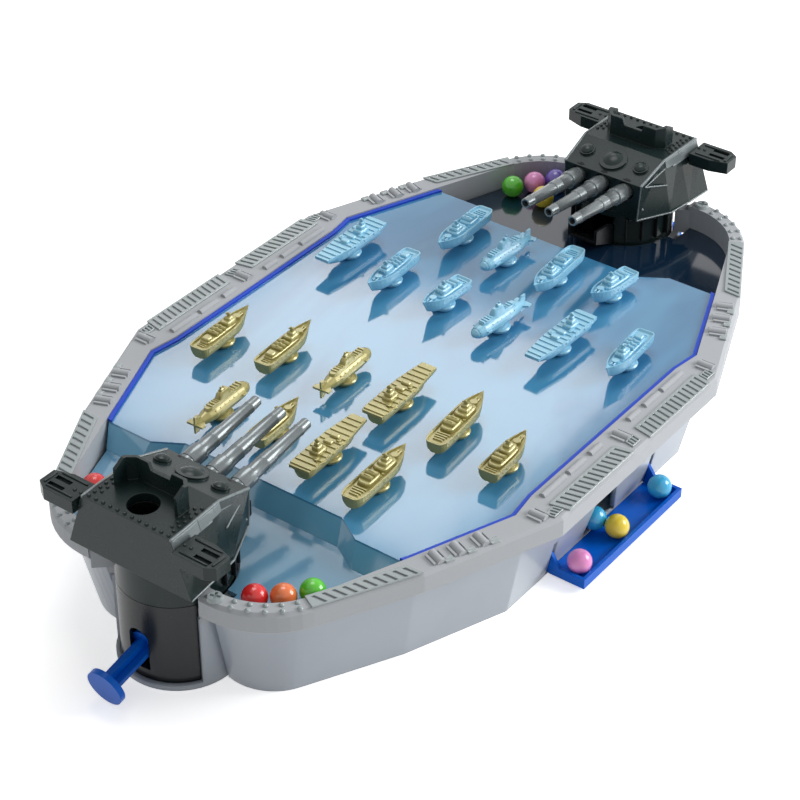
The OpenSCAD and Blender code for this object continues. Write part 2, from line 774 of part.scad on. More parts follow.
module shield() {
    t = 1.7;
    front_u = -3.5;
    corner = 4;
    rear_u = -15;
    base_z = roof_z - 1;
    difference() {
        intersection() {
            translate([0, 0, base_z])
                linear_extrude(shield_h + 2)
                    difference() {
                        polygon([[rear_u, -shield_half_w], [front_u - corner, -shield_half_w],
                            [front_u, corner - shield_half_w], [front_u, shield_half_w - corner],
                            [front_u - corner, shield_half_w], [rear_u, shield_half_w]]);
                        polygon([[rear_u - 1, t - shield_half_w], [front_u - corner - t / 2, t - shield_half_w],
                            [front_u - t, corner + t / 2 - shield_half_w],
                            [front_u - t, shield_half_w - corner - t / 2],
                            [front_u - corner - t / 2, shield_half_w - t], [rear_u - 1, shield_half_w - t]]);
                    }
            rotate([90, 0, 0])
                linear_extrude(2 * shield_half_w + 2, center = true)
                    polygon([[rear_u, base_z], [front_u, base_z], [front_u, roof_z + shield_h - 1],
                        [front_u - 6, roof_z + shield_h], [rear_u, roof_z + shield_h - 3]]);
        }
        // the sighting notch in the front wall
        translate([front_u - 6, 0, roof_z + shield_h - 4.6])
            rotate([90, 0, 90])
                linear_extrude(12)
                    polygon([[-5.4, 0], [5.4, 0], [7.6, 6], [-7.6, 6]]);
    }
}

module roof_domes() {
    slope = -atan2(6.8, turret_front - 4);
    translate([14.5, 0, roof_z - 2.9])
        rotate([0, -slope, 0]) {
            dome(7.6);
            for (s = side_sign)
                translate([-0.6, s * 16.6, 0])
                    dome(4.2);
        }
}

module dome(r) {
    cylinder(h = 1.5, r = r);
    translate([0, 0, 1.5])
        intersection() {
            translate([0, 0, 1.6 - r * 1.3])
                sphere(r = r * 1.3);
            cylinder(h = r, r = r - 0.9);
        }
}

// Raised panel edge on the turret's side, between two points of the side face
module side_rib(a, b) {
    hull() {
        translate(a)
            sphere(r = 0.9, $fn = 8);
        translate(b)
            sphere(r = 0.9, $fn = 8);
    }
}

module turret_shell() {
    color([0.3, 0.32, 0.33])
        difference() {
            union() {
                difference() {
                    loft(turret_rings(0, 0));
                    loft(turret_rings(shell_t, 1));
                }
                difference() {
                    turret_skirt();
                    translate([0, 0, seam_z - 1])
                        cylinder(h = skirt_z - seam_z + 8, r = column_r - shell_t);
                }
                // roof boss of the ball inlet
                translate([-inlet_back, 0, roof_z - 4])
                    cylinder(h = 3.8, r = inlet_r + shell_t);
                shield();
                roof_domes();
            }
            translate([-inlet_back, 0, roof_z - 10])
                cylinder(h = 20, r = inlet_r);
            for (k = [-1:1])
                translate([gun_u, k * gun_pitch, gun_z])
                    rotate([0, 90 - gun_tilt, 0])
                        translate([0, 0, -12])
                            cylinder(h = 24, r = breech_r + 0.3);
            // the way of the launched ball through the skirt
            translate([0, -chute_half - 0.3, seam_z - 1])
                cube([column_r + 2, 2 * chute_half + 0.6, skirt_z - seam_z + 0.5]);
        }
}

module turret_grips() {
    grip_u = -24;
    grip_len = 15;
    grip_h = 6.6;
    grip_z = skirt_z + 19.5;
    color([0.26, 0.28, 0.29])
        for (s = side_sign)
            mirror([0, s < 0 ? 1 : 0, 0])
                difference() {
                    translate([grip_u, grip_root(grip_z), grip_z])
                        linear_extrude(grip_h)
                            polygon([[-7, 0], [grip_len - 7, 0], [grip_len - 7, 12],
                                [grip_len - 10, grip_reach - grip_root(grip_z)],
                                [-4, grip_reach - grip_root(grip_z)], [-7, 17]]);
                    for (k = [0:1])
                        translate([grip_u - 4 + 5 * k, grip_reach - 13, grip_z + grip_h - 1.4])
                            cube([2.4, 9, 3]);
                }
}
// Half width of the turret's rear side at height z
function grip_root(z) = roof_rear_half + (skirt_rear_half - roof_rear_half) * (roof_z - z) / roof_h + 0.05;

module gun_barrels() {
    reach = (gun_reach - gun_u) / cos(gun_tilt);
    color([0.55, 0.57, 0.57])
        union() {
            for (k = [-1:1])
                translate([gun_u, k * gun_pitch, gun_z])
                    rotate([0, 90 - gun_tilt, 0])
                        difference() {
                            rotate_extrude($fn = 32)
                                polygon([[0, -14], [breech_r - 0.4, -14], [breech_r - 0.4, 0], [breech_r, 0],
                                    [breech_r, 8.5], [sleeve_r + 0.2, 8.5], [sleeve_r, 23], [sleeve_r - 0.5, 23],
                                    [muzzle_r, reach], [0, reach]]);
                            translate([0, 0, reach - 7])
                                cylinder(h = 8, r = muzzle_r - 1, $fn = 24);
                        }
            // the carrier block that holds the three breeches inside the shell
            translate([gun_u - 17, -gun_pitch - breech_r - 1, gun_z - 8])
                cube([6, 2 * (gun_pitch + breech_r + 1), 11]);
        }
}

module turret_column() {
    slot_half = shaft_w / 2 + 0.7;
    color([0.2, 0.21, 0.22])
        difference() {
            union() {
                difference() {
                    translate([0, 0, column_z])
                        cylinder(h = seam_z - column_z, r = column_r);
                    translate([0, 0, column_z + shell_t])
                        cylinder(h = rim_top, r = column_r - shell_t);
                }
                // spigot that carries the turret shell
                difference() {
                    union() {
                        translate([0, 0, seam_z - 6])
                            cylinder(h = 6, r = column_r - shell_t + 0.1);
                        translate([0, 0, seam_z - 1])
                            cylinder(h = 7, r = column_r - shell_t - 0.2);
                    }
                    translate([0, 0, seam_z - 7])
                        cylinder(h = 14, r = column_r - 2 * shell_t);
                }
            }
            // pivot bore
            translate([0, 0, column_z - 1])
                cylinder(h = shell_t + 2, r = pivot_r + 0.3);
            // arched slot for the plunger
            translate([-column_r - 5, 0, 0])
                rotate([90, 0, 90])
                    linear_extrude(column_r)
                        union() {
                            translate([-slot_half, plunger_z - 14])
                                square([2 * slot_half, 16]);
                            translate([0, plunger_z + 2])
                                circle(r = slot_half);
                        }
            // the way of the launched ball
            translate([0, -chute_half - 0.3, plunger_z - 9.6])
                cube([column_r + 5, 2 * chute_half + 0.6, rim_top]);
        }
}

// The tube drops a ball from the roof's inlet, forwards to the chamber of the chute
tube_bend_z = skirt_z + 6.5;
chamber_u = 9;
tube_lean = atan2(inlet_back + chamber_u, tube_bend_z - plunger_z - 13.5);
module tube_core(r, extra) {
    top = roof_z - 4.3;
    translate([-inlet_back, 0, tube_bend_z])
        cylinder(h = top - tube_bend_z + extra, r = r);
    translate([-inlet_back, 0, tube_bend_z])
        rotate([0, 180 - tube_lean, 0])
            translate([0, 0, -extra])
                cylinder(h = (tube_bend_z - plunger_z - 13.5) / cos(tube_lean) + 2 * extra, r = r);
    translate([-inlet_back, 0, tube_bend_z])
        sphere(r = r + 0.25);
}
module ball_tube() {
    color([0.24, 0.25, 0.26])
        difference() {
            tube_core(inlet_r + 1.4, 0);
            tube_core(inlet_r, 2);
        }
}

chute_wall = 1.6;
chute_half = ball_r + 1.4 + chute_wall;
guide_t = 1.6;
striker_r = 2.2;
module launch_chute() {
    color([0.1, 0.1, 0.11])
        union() {
            rotate([90, 0, 0])
                difference() {
                    linear_extrude(2 * chute_half, center = true)
                        polygon([[0, plunger_z - 9], [14.6, plunger_z - 9], [26.7, gutter_z + 0.5],
                            [42, deck_z - 4], [42, deck_z + 4], [30, deck_z + 3], [22, deck_z - 1],
                            [17.2, plunger_z + 20], [10, plunger_z + 9], [0, plunger_z + 8]]);
                    linear_extrude(2 * (chute_half - chute_wall), center = true)
                        polygon([[-1, plunger_z - 7.4], [13.5, plunger_z - 7.4], [25.4, gutter_z + 1.6],
                            [43, deck_z - 1.9], [43, deck_z + 30], [-1, deck_z + 30]]);
                }
            // guide plate of the striker, at the chamber's rear
            difference() {
                translate([0, -chute_half, plunger_z - 9])
                    cube([guide_t, 2 * chute_half, 17]);
                at_plunger()
                    cylinder(h = 12, r = striker_r + 0.3, center = true, $fn = 32);
            }
        }
}

// ---------------------------------------------------------------- plunger
module at_plunger() {
    translate([0, 0, plunger_z])
        rotate([0, 90 - plunger_tilt, 0])
            children();
}

// The plunger's own frame: its line is local Z, pointing into the turret
plunger_head = -23;
head_t = 2.4;
module plunger() {
    color([0.1, 0.4, 0.85])
        at_plunger() {
            translate([0, 0, -knob_reach])
                cylinder(h = knob_t, r = knob_d / 2);
            for (a = [0, 90])
                rotate([0, 0, a])
                    translate([-shaft_w / 2, -shaft_t / 2, knob_t - knob_reach - 0.1])
                        cube([shaft_w, shaft_t, plunger_head + knob_reach - knob_t + 0.2]);
            translate([0, 0, plunger_head])
                cylinder(h = head_t, r = shaft_w / 2 + 3);
            translate([0, 0, plunger_head + 0.1])
                cylinder(h = 1.7 - plunger_head, r = striker_r, $fn = 32);
        }
}

module plunger_spring() {
    turns = 4;
    per_turn = 12;
    wire_r = 0.6;
    coil_r = 4;
    len_z = -plunger_head - head_t - 2 * wire_r - 1.1;
    ring_n = 6;
    function spring_p(t) = [coil_r * cos(360 * t), coil_r * sin(360 * t), len_z * t / turns];
    rings = [for (i = [0:turns * per_turn]) let (t = i / per_turn, c = spring_p(t))
        [for (k = [0:ring_n - 1]) let (a = -360 * k / ring_n)
            c + wire_r * (cos(a) * [cos(360 * t), sin(360 * t), 0] + sin(a) * [0, 0, 1])]];
    color([0.7, 0.7, 0.72])
        at_plunger()
            translate([0, 0, plunger_head + head_t + wire_r + 0.1])
                loft([for (r = rings) reversed(r)]);
}

// ---------------------------------------------------------------- ships
// Share of the full half width at the share t of the hull's length, counted from the stern
function hull_half(t, stern, bow, transom) =
    t < stern ? transom + (1 - transom) * sqrt(1 - pow(1 - t / stern, 2)) :
    t > 1 - bow ? max(0.06, cos(90 * pow((t - 1 + bow) / bow, 1.35))) : 1;
HULL_STEPS = [0, 0.015, 0.04, 0.08, 0.14, 0.24, 0.38, 0.5, 0.6, 0.68, 0.76, 0.83, 0.89, 0.94, 0.975, 1];
// One side of a hull's section, from keel to deck, as shares of half width and height
function hull_side(sunk) = [[0.5, 0], [0.78, 0.1], [0.93, 0.28], [1, 0.55], [1, 1], [0.84, 1], [0.8, 1 - sunk]];

// A boat's hull from stern to bow: rounded bilge, raised bow and a bulwark round the deck
module ship_hull(l, w, rise, stern, bow, transom) {
    loft([for (t = HULL_STEPS) let (
        half = w / 2 * hull_half(t, stern, bow, transom),
        top = ship_z + ship_hull_h + rise * pow(max(0, (t - 0.45) / 0.55), 2),
        foot = ship_z + 1.8 * pow(max(0, (t - 0.75) / 0.25), 2),
        rake = t > 0.7 ? 3.4 * (t - 0.7) / 0.3 : t < 0.08 ? 1.2 * (t / 0.08 - 1) : 0,
        side = hull_side(t > 0.03 && t < 0.95 ? 0.9 / ship_hull_h : 0),
        loop = concat([for (p = side) [-p[0], p[1]]], reversed(side)))
        [for (p = loop) [l * (t - 0.5) + rake * (p[1] - 1), p[0] * half, foot + p[1] * (top - foot)]]
    ]);
}

module ship_stand() {
    r = stand_d / 2;
    rotate_extrude($fn = 32)
        polygon([[0, 0], [0.6 * r, 0], [0.84 * r, 0.25 * ship_z], [0.97 * r, 0.58 * ship_z], [r, 0.8 * ship_z],
            [0.9 * r, ship_z], [0.72 * r, ship_z + 0.3], [0.66 * r, ship_z + 1], [0, ship_z + 1]]);
    translate([0, 0, -field_t - 3])
        cylinder(h = field_t + 4, r = peg_d / 2, $fn = 32);
}

module block(x, y, z, l, w, h) {
    translate([x - l / 2, y - w / 2, z])
        cube([l, w, h]);
}

// Rounded outline of a deck house
function pill(l, w) = [for (i = [0:15]) let (a = -22.5 * i - 11.25)
    [l / 2 * sign(cos(a)) * pow(abs(cos(a)), 0.45), w / 2 * sign(sin(a)) * pow(abs(sin(a)), 0.45)]];
module house(x, z, l, w, h) {
    translate([x, 0, 0])
        loft_loops([pill(l + 0.4, w + 0.4), pill(l, w), pill(l - 0.9, w - 0.9)], [z, z + h - 0.5, z + h]);
}
// A round bar across the ship
module cross_bar(x, z, r, w) {
    translate([x, w / 2, z])
        rotate([90, 0, 0])
            cylinder(h = w, r = r, $fn = 20);
}

// A twin gun house with its barrels, facing the bow when turn is 0
module gun_house(x, z, turn) {
    translate([x, 0, z])
        rotate([0, 0, turn]) {
            cylinder(h = 1.8, r = 1.9, $fn = 24);
            for (y = [-0.8, 0.8])
                translate([1, y, 1.1])
                    rotate([0, 90, 0])
                        cylinder(h = 3.2, r = 0.45, $fn = 16);
        }
}

module destroyer() {
    deck = ship_z + ship_hull_h - 1;
    ship_hull(42, 10.6, 2, 0.1, 0.5, 0.62);
    house(-3, deck, 25, 6.4, 1.5);
    house(4.6, deck + 1.3, 8, 5.4, 2.6);
    house(5, deck + 3.7, 4, 3.6, 1.6);
    for (x = [-1.6, -4.4, -7.2])
        cross_bar(x, deck + 2.2, 1.15, 5.8);
    house(-12.4, deck + 1.3, 4.4, 4.4, 1.6);
    gun_house(11.4, deck + 0.4, 0);
}

module carrier() {
    deck = ship_z + ship_hull_h - 0.9;
    ship_hull(46, 10, 0, 0.08, 0.4, 0.7);
    translate([0, 0, deck])
        linear_extrude(1.6)
            polygon([[-24, -5.6], [-24, 5.6], [-20, 6.3], [6, 6.3], [24, 4.1], [24, -4.1], [6, -6.3], [-20, -6.3]]);
    for (i = [0:11])
        let (x = -21.6 + 3.85 * i, w = x > 6 ? 11.6 - 4.4 * (x - 6) / 18 : 11.6)
            block(x, 0, deck + 1.5, 2, w, 0.6);
    house(-9, deck + 1.5, 8, 5.6, 2.2);
    house(-9.4, deck + 3.5, 4.8, 3.8, 2.2);
    house(-9.6, deck + 5.5, 2.4, 2.2, 2);
    for (x = [-1, 4.4])
        house(x, deck + 1.5, 3.2, 4.6, 1.7);
}

module battleship() {
    deck = ship_z + ship_hull_h - 1;
    ship_hull(46, 11.2, 1.4, 0.14, 0.42, 0.5);
    house(6, deck, 11, 7.4, 2.6);
    house(6.2, deck + 2.4, 7, 5.4, 1.6);
    house(6.4, deck + 3.8, 3.6, 3.4, 1.5);
    house(-6.6, deck, 11, 7, 2.4);
    for (x = [-4.4, -8])
        cross_bar(x, deck + 2.7, 1.5, 5.8);
    for (i = [0:3])
        block(-13.6 - 1.7 * i, 0, deck - 0.1, 0.8, 6.8 - 0.7 * i, 0.9);
    gun_house(14, deck + 0.2, 0);
}

module submarine() {
    mid = ship_z + 3.7;
    // share of the body's radius at shares of its length, from the tail to the nose
    body = [[0, 0.12], [0.05, 0.34], [0.12, 0.58], [0.22, 0.84], [0.32, 0.97], [0.45, 1], [0.72, 1], [0.84, 0.94],
        [0.91, 0.8], [0.96, 0.58], [0.99, 0.3], [1, 0.1]];
    loft([for (p = body) [for (i = [0:19]) let (a = 90 - 18 * i)
        [41 * (p[0] - 0.5), 4.3 * p[1] * cos(a), mid + 3.9 * p[1] * sin(a)]]]);
    translate([1.5, 0, mid + 3.1])
        loft_loops([pill(27, 4.4), pill(26, 3.8)], [0, 1.5]);
    for (x = [-8.6, -6.6, 9.4, 11.4, 13.4])
        block(x, 0, mid + 4.5, 0.9, 3.4, 0.6);
    translate([1.6, 0, mid + 4.4])
        loft_loops([pill(9.6, 4), pill(8, 3.2), pill(6.4, 2.4)], [0, 2.2, 3.4]);
    house(0.8, mid + 7.6, 3, 1.8, 1.6);
    translate([-17.8, 0, mid])
        for (a = [0, 90])
            rotate([a, 0, 0])
                linear_extrude(1, center = true)
                    polygon([[-2.4, -4.6], [0.2, -4.6], [3, -1.6], [3, 1.6], [0.2, 4.6], [-2.4, 4.6]]);
}

module patrol_boat() {
    deck = ship_z + ship_hull_h - 1;
    ship_hull(34.5, 10.6, 2.4, 0.08, 0.52, 0.78);
    house(-3, deck, 19, 7.4, 1.8);
    house(0.6, deck + 1.6, 8.4, 5.8, 2.6);
    house(1, deck + 4, 4.4, 3.8, 1.7);
    for (x = [-5.6, -8.4])
        cross_bar(x, deck + 2.5, 1.25, 5.6);
    gun_house(9, deck + 0.6, 0);
}

module ship(kind) {
    ship_stand();
    if (kind == "destroyer")
        destroyer();
    if (kind == "carrier")
        carrier();
    if (kind == "battleship")
        battleship();
    if (kind == "submarine")
        submarine();
    if (kind == "patrol_boat")
        patrol_boat();
}

module fleet_ship(side, i, kind) {
    p = SHIP_PLACES[i];
    color(side < 0 ? [0.78, 0.74, 0.48] : [0.55, 0.82, 0.95])
        translate([side * p[0], p[1], deck_z])
            rotate([0, 0, side < 0 ? GOLD_TURNS[i] : 180 + BLUE_TURNS[i]])
                ship(kind);
}

// ---------------------------------------------------------------- the pieces by name
rim_frame();
rim_screws();
lower_tub();
pivot_retainers();
bottom_plate();
base_screws();
deck_posts();
playfield();
color("tomato") gutter_balls(LEFT_BALLS);  // gutter_balls_left
color("yellowgreen") gutter_balls(RIGHT_BALLS);  // gutter_balls_right
color([0.1, 0.4, 0.85]) at_tray(-1) tray_body();  // front_tray
color([0.1, 0.4, 0.85]) at_tray(1) tray_body();  // rear_tray
tray_pins(-1);  // front_tray_pins
tray_pins(1);  // rear_tray_pins
tray_balls();
for (s = side_sign) {
    side = s < 0 ? "left" : "right";
    at_turret(s) turret_shell();
    at_turret(s) turret_grips();
    at_turret(s) gun_barrels();
    at_turret(s) turret_column();
    at_turret(s) ball_tube();
    at_turret(s) launch_chute();
    at_turret(s) plunger();
    at_turret(s) plunger_spring();
}
for (i = [0:9]) {
    fleet_ship(-1, i, SHIP_KINDS[i]);
    fleet_ship(1, i, BLUE_KINDS[i]);
}
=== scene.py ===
"""Dresses the two-player marble game: rim trim, gun turrets, ships, clear deck, marbles and studio."""
import logging
import math
from collections.abc import Sequence
from dataclasses import dataclass
from enum import Enum
from functools import partial

import bmesh
import bpy
from mathutils import Matrix, Vector


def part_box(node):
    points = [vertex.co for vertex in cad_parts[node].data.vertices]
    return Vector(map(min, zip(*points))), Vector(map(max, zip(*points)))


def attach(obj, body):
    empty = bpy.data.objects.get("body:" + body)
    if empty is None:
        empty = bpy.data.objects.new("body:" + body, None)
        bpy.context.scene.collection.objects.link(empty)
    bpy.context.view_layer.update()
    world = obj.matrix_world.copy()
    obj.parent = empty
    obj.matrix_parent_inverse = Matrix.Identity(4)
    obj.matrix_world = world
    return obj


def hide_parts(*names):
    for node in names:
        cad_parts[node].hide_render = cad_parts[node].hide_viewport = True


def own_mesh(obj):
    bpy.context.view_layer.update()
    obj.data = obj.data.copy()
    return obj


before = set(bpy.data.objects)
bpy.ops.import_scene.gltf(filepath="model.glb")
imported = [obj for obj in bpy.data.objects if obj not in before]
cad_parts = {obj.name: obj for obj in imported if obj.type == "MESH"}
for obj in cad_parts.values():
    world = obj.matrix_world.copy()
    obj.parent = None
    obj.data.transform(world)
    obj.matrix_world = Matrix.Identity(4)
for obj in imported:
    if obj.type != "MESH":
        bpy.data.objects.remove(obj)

LOG = logging.getLogger("marble_game")
MM = 0.001
SIDES = (-1, 1)
# Height of the playfield's deck, in millimetres
DECK_TOP = 58.0

Point = tuple[float, float, float]
Flat = tuple[float, float]
Quad = tuple[float, float, float, float]
Colour = tuple[float, float, float]

WHITE: Quad = (1, 1, 1, 1)
UP: Point = (0, 0, 1)


def linear(red: int, green: int, blue: int) -> Colour:
    """Turns a screen colour of 0 to 255 a channel into linear light.

    Args:
        red: Red channel.
        green: Green channel.
        blue: Blue channel.

    Returns:
        The three linear channels.
    """
    def one(value: int) -> float:
        """One channel's linear value."""
        share = value / 255
        return share / 12.92 if share <= 0.04045 else ((share + 0.055) / 1.055) ** 2.4

    return one(red), one(green), one(blue)


def rgba(colour: Colour) -> Quad:
    """The colour with full opacity, as a node socket wants it."""
    return (*colour, 1.0)


# ---- shader node groups


class Wiring:
    """Adds and joins the nodes of one node tree."""

    def __init__(self, tree: bpy.types.NodeTree) -> None:
        """Takes the tree that it works on."""
        self.tree = tree

    def node(self, kind: str, inputs: dict[str, object] | None = None,
             **properties: object) -> bpy.types.Node:
        """Adds a node of a kind, sets its properties, and feeds its inputs with sockets or values.

        Args:
            kind: The node type.
            inputs: Sockets or values for its named inputs.
            **properties: The node's own settings.

        Returns:
            The new node.
        """
        made = self.tree.nodes.new(kind)
        for label, value in properties.items():
            setattr(made, label, value)
        for label, value in (inputs or {}).items():
            self.feed(value, made.inputs[label])
        return made

    def link(self, source: bpy.types.NodeSocket, target: bpy.types.NodeSocket) -> None:
        """Joins two sockets."""
        self.tree.links.new(source, target)

    def feed(self, value: object, target: bpy.types.NodeSocket) -> None:
        """Joins a socket to the target, or writes a number or colour on it.

        Args:
            value: A socket, a number or a colour.
            target: The socket that takes it.
        """
        if isinstance(value, bpy.types.NodeSocket):
            self.link(value, target)
        else:
            target.default_value = value

    def maths(self, kind: str, first: object, second: object, clamp: bool = False) -> bpy.types.NodeSocket:
        """A math node on two sockets or numbers.

        Args:
            kind: The operation.
            first: A socket or a number.
            second: A socket or a number.
            clamp: Whether the result is kept between 0 and 1.

        Returns:
            The result socket.
        """
        made = self.node("ShaderNodeMath", operation=kind, use_clamp=clamp)
        self.feed(first, made.inputs[0])
        self.feed(second, made.inputs[1])
        return made.outputs["Value"]

    def mix(self, factor: bpy.types.NodeSocket, first: object, second: object) -> bpy.types.NodeSocket:
        """Mixes two colours, each a socket or four numbers, by a factor socket.

        Args:
            factor: Share of the second colour.
            first: The colour at 0.
            second: The colour at 1.

        Returns:
            The mixed colour's socket.
        """
        made = self.node("ShaderNodeMix", data_type="RGBA")
        # By number, because the node's value sockets have the same names as its colour sockets
        colour_a, colour_b, result = made.inputs[6], made.inputs[7], made.outputs[2]
        self.link(factor, made.inputs["Factor"])
        self.feed(first, colour_a)
        self.feed(second, colour_b)
        return result


class GroupMaker(Wiring):
    """Builds one shader node group with named inputs and outputs."""

    def __init__(self, name: str, inputs: dict[str, str], outputs: dict[str, str]) -> None:
        """Starts the group.

        Args:
            name: The group's name.
            inputs: Socket names and their socket types.
            outputs: Socket names and their socket types.
        """
        super().__init__(bpy.data.node_groups.new(name, "ShaderNodeTree"))
        for sockets, way in ((inputs, "INPUT"), (outputs, "OUTPUT")):
            for label, kind in sockets.items():
                self.tree.interface.new_socket(label, in_out=way, socket_type=kind)
        self.entry = self.node("NodeGroupInput").outputs
        self.exit = self.node("NodeGroupOutput").inputs
        self.place = self.node("ShaderNodeTexCoord").outputs["Object"]

    def noise(self, scale: float, detail: float, stretch: Point = (1, 1, 1),
              distortion: float = 0.0) -> bpy.types.NodeSocket:
        """A noise over the object's own coordinates.

        Args:
            scale: Cells per metre.
            detail: Octaves of the noise.
            stretch: Scale of each axis before the noise.
            distortion: How far the noise bends itself.

        Returns:
            The noise's value socket.
        """
        mapping = self.node("ShaderNodeMapping", {"Vector": self.place, "Scale": stretch})
        made = self.node("ShaderNodeTexNoise", {"Vector": mapping.outputs["Vector"], "Scale": scale,
                                                "Detail": detail, "Distortion": distortion})
        return made.outputs["Fac"]

    def remap(self, value: bpy.types.NodeSocket, low: float, high: float) -> bpy.types.NodeSocket:
        """Stretches a value so that low becomes 0 and high becomes 1, clamped.

        Args:
            value: The value to stretch.
            low: What becomes 0.
            high: What becomes 1.

        Returns:
            The stretched value's socket.
        """
        made = self.node("ShaderNodeMapRange", {"Value": value, "From Min": low, "From Max": high},
                         interpolation_type="SMOOTHSTEP")
        return made.outputs["Result"]

    def leave(self, **sockets: bpy.types.NodeSocket) -> bpy.types.NodeTree:
        """Joins the named outputs of the group, and gives the finished group.

        Args:
            **sockets: What each named output gives.

        Returns:
            The group's node tree.
        """
        for label, socket in sockets.items():
            self.link(socket, self.exit[label])
        return self.tree


FLOAT = "NodeSocketFloat"
COLOUR = "NodeSocketColor"


def moulded_group() -> bpy.types.NodeTree:
    """Moulded plastic: slow mottling, fine grain and a roughness that wanders.

    Returns:
        The group's node tree.
    """
    maker = GroupMaker("moulded_surface", {"Colour": COLOUR, "Shade": COLOUR, "Mottle": FLOAT,
                                           "Roughness": FLOAT, "Spread": FLOAT},
                       {"Colour": COLOUR, "Roughness": FLOAT, "Height": FLOAT})
    entry = maker.entry
    slow = maker.noise(scale=22, detail=3)
    clouds = maker.maths("MULTIPLY", maker.remap(slow, low=0.35, high=0.7), entry["Mottle"])
    patches = maker.maths("SUBTRACT", maker.noise(scale=60, detail=4), 0.5)
    swing = maker.maths("MULTIPLY", patches, entry["Spread"])
    grain_share = 0.7
    grain = maker.maths("MULTIPLY", maker.noise(scale=1500, detail=2), grain_share)
    return maker.leave(Colour=maker.mix(clouds, entry["Colour"], entry["Shade"]),
                       Roughness=maker.maths("ADD", entry["Roughness"], swing, clamp=True),
                       Height=maker.maths("ADD", grain, maker.maths("MULTIPLY", slow, 1 - grain_share)))


def scuff_group() -> bpy.types.NodeTree:
    """Fine handling scratches, as a mask.

    Returns:
        The group's node tree.
    """
    maker = GroupMaker("handling_scuffs", {"Amount": FLOAT}, {"Mask": FLOAT})
    along = maker.noise(scale=90, detail=6, stretch=(1, 14, 6), distortion=0.6)
    across = maker.noise(scale=80, detail=6, stretch=(13, 1.2, 7), distortion=0.8)
    lengthwise, crosswise = maker.remap(along, low=0.66, high=0.72), maker.remap(across, low=0.67, high=0.73)
    both = maker.maths("MAXIMUM", lengthwise, crosswise)
    where = maker.remap(maker.noise(scale=9, detail=2), low=0.45, high=0.65)
    marks = maker.maths("MULTIPLY", both, where)
    return maker.leave(Mask=maker.maths("MULTIPLY", marks, maker.entry["Amount"], clamp=True))


def flake_group() -> bpy.types.NodeTree:
    """Metal flake held in plastic: bright specks over one colour.

    Returns:
        The group's node tree.
    """
    maker = GroupMaker("metal_flakes", {"Colour": COLOUR, "Glint": COLOUR, "Amount": FLOAT},
                       {"Colour": COLOUR})
    entry = maker.entry
    flakes_per_metre = 5200
    cells = maker.node("ShaderNodeTexVoronoi", {"Vector": maker.place, "Scale": flakes_per_metre})
    split = maker.node("ShaderNodeSeparateColor", {"Color": cells.outputs["Color"]})
    bright = maker.remap(split.outputs["Red"], low=0.55, high=1.0)
    specks = maker.maths("MULTIPLY", bright, entry["Amount"])
    return maker.leave(Colour=maker.mix(specks, entry["Colour"], entry["Glint"]))


@dataclass(frozen=True)
class DeckZones:
    """Where the deck's zones begin and end, in metres."""

    # By height
    lip: Flat = (0.05806, 0.05812)
    below: Flat = (0.0570, 0.0576)
    gutter: Flat = (0.0470, 0.0474)
    # By distance along the game
    step: Flat = (0.1225, 0.1232)
    # Where the painted shade and painted dark reflection of the far turret begin, along X
    far: Flat = (0.118, 0.126)


def deck_group(zones: DeckZones = DeckZones()) -> bpy.types.NodeTree:
    """The clear deck's colours by place: pale sheet, deep blue lip, steel-blue step, slow flow marks, and a
    painted shade with a painted dark reflection at the far end, beside the far turret.

    Args:
        zones: Where each zone begins and ends.

    Returns:
        The group's node tree.
    """
    colours = ("Sheet", "Lip", "Step", "Gutter", "Shade", "Deep")
    maker = GroupMaker("deck_zones", dict.fromkeys(colours, COLOUR),
                       {"Colour": COLOUR, "Height": FLOAT, "Roughness": FLOAT, "Gloss": FLOAT})
    axes = maker.node("ShaderNodeSeparateXYZ", {"Vector": maker.place}).outputs
    height, length = axes["Z"], axes["X"]
    lip = maker.remap(height, *zones.lip)
    below = maker.maths("SUBTRACT", 1.0, maker.remap(height, *zones.below))
    step = maker.maths("MULTIPLY", below, maker.remap(maker.maths("ABSOLUTE", length, 0), *zones.step))
    gutter = maker.maths("SUBTRACT", 1.0, maker.remap(height, *zones.gutter))
    far = maker.maths("MULTIPLY", below, maker.remap(length, *zones.far))
    flow = maker.noise(scale=6, detail=3, stretch=(1, 2, 1), distortion=1.2)
    clouds = maker.maths("MULTIPLY", maker.remap(flow, low=0.42, high=0.66), 0.6)
    tone = maker.entry["Sheet"]
    # The far end below the deck's top takes a painted shade and a painted dark reflection of the far turret
    for mask, label in ((clouds, "Deep"), (step, "Step"), (maker.maths("MULTIPLY", gutter, step), "Gutter"),
                        (far, "Shade"), (lip, "Lip")):
        tone = maker.mix(mask, tone, maker.entry[label])
    polish, wear, lip_matt = 0.07, 0.05, 0.45
    rough = maker.maths("ADD", polish, maker.maths("MULTIPLY", maker.noise(scale=40, detail=3), wear))
    return maker.leave(Colour=tone, Height=flow, Gloss=maker.maths("SUBTRACT", 1.0, lip),
                       Roughness=maker.maths("ADD", rough, maker.maths("MULTIPLY", lip, lip_matt)))


class Effects:
    """The shared node groups, each built once."""

    moulded: bpy.types.NodeTree
    scuffs: bpy.types.NodeTree
    flakes: bpy.types.NodeTree
    deck: bpy.types.NodeTree

    @classmethod
    def build(cls) -> None:
        """Makes every group."""
        cls.moulded = moulded_group()
        cls.scuffs = scuff_group()
        cls.flakes = flake_group()
        cls.deck = deck_group()


# ---- finishes

COAT_ROUGHNESS = 0.08


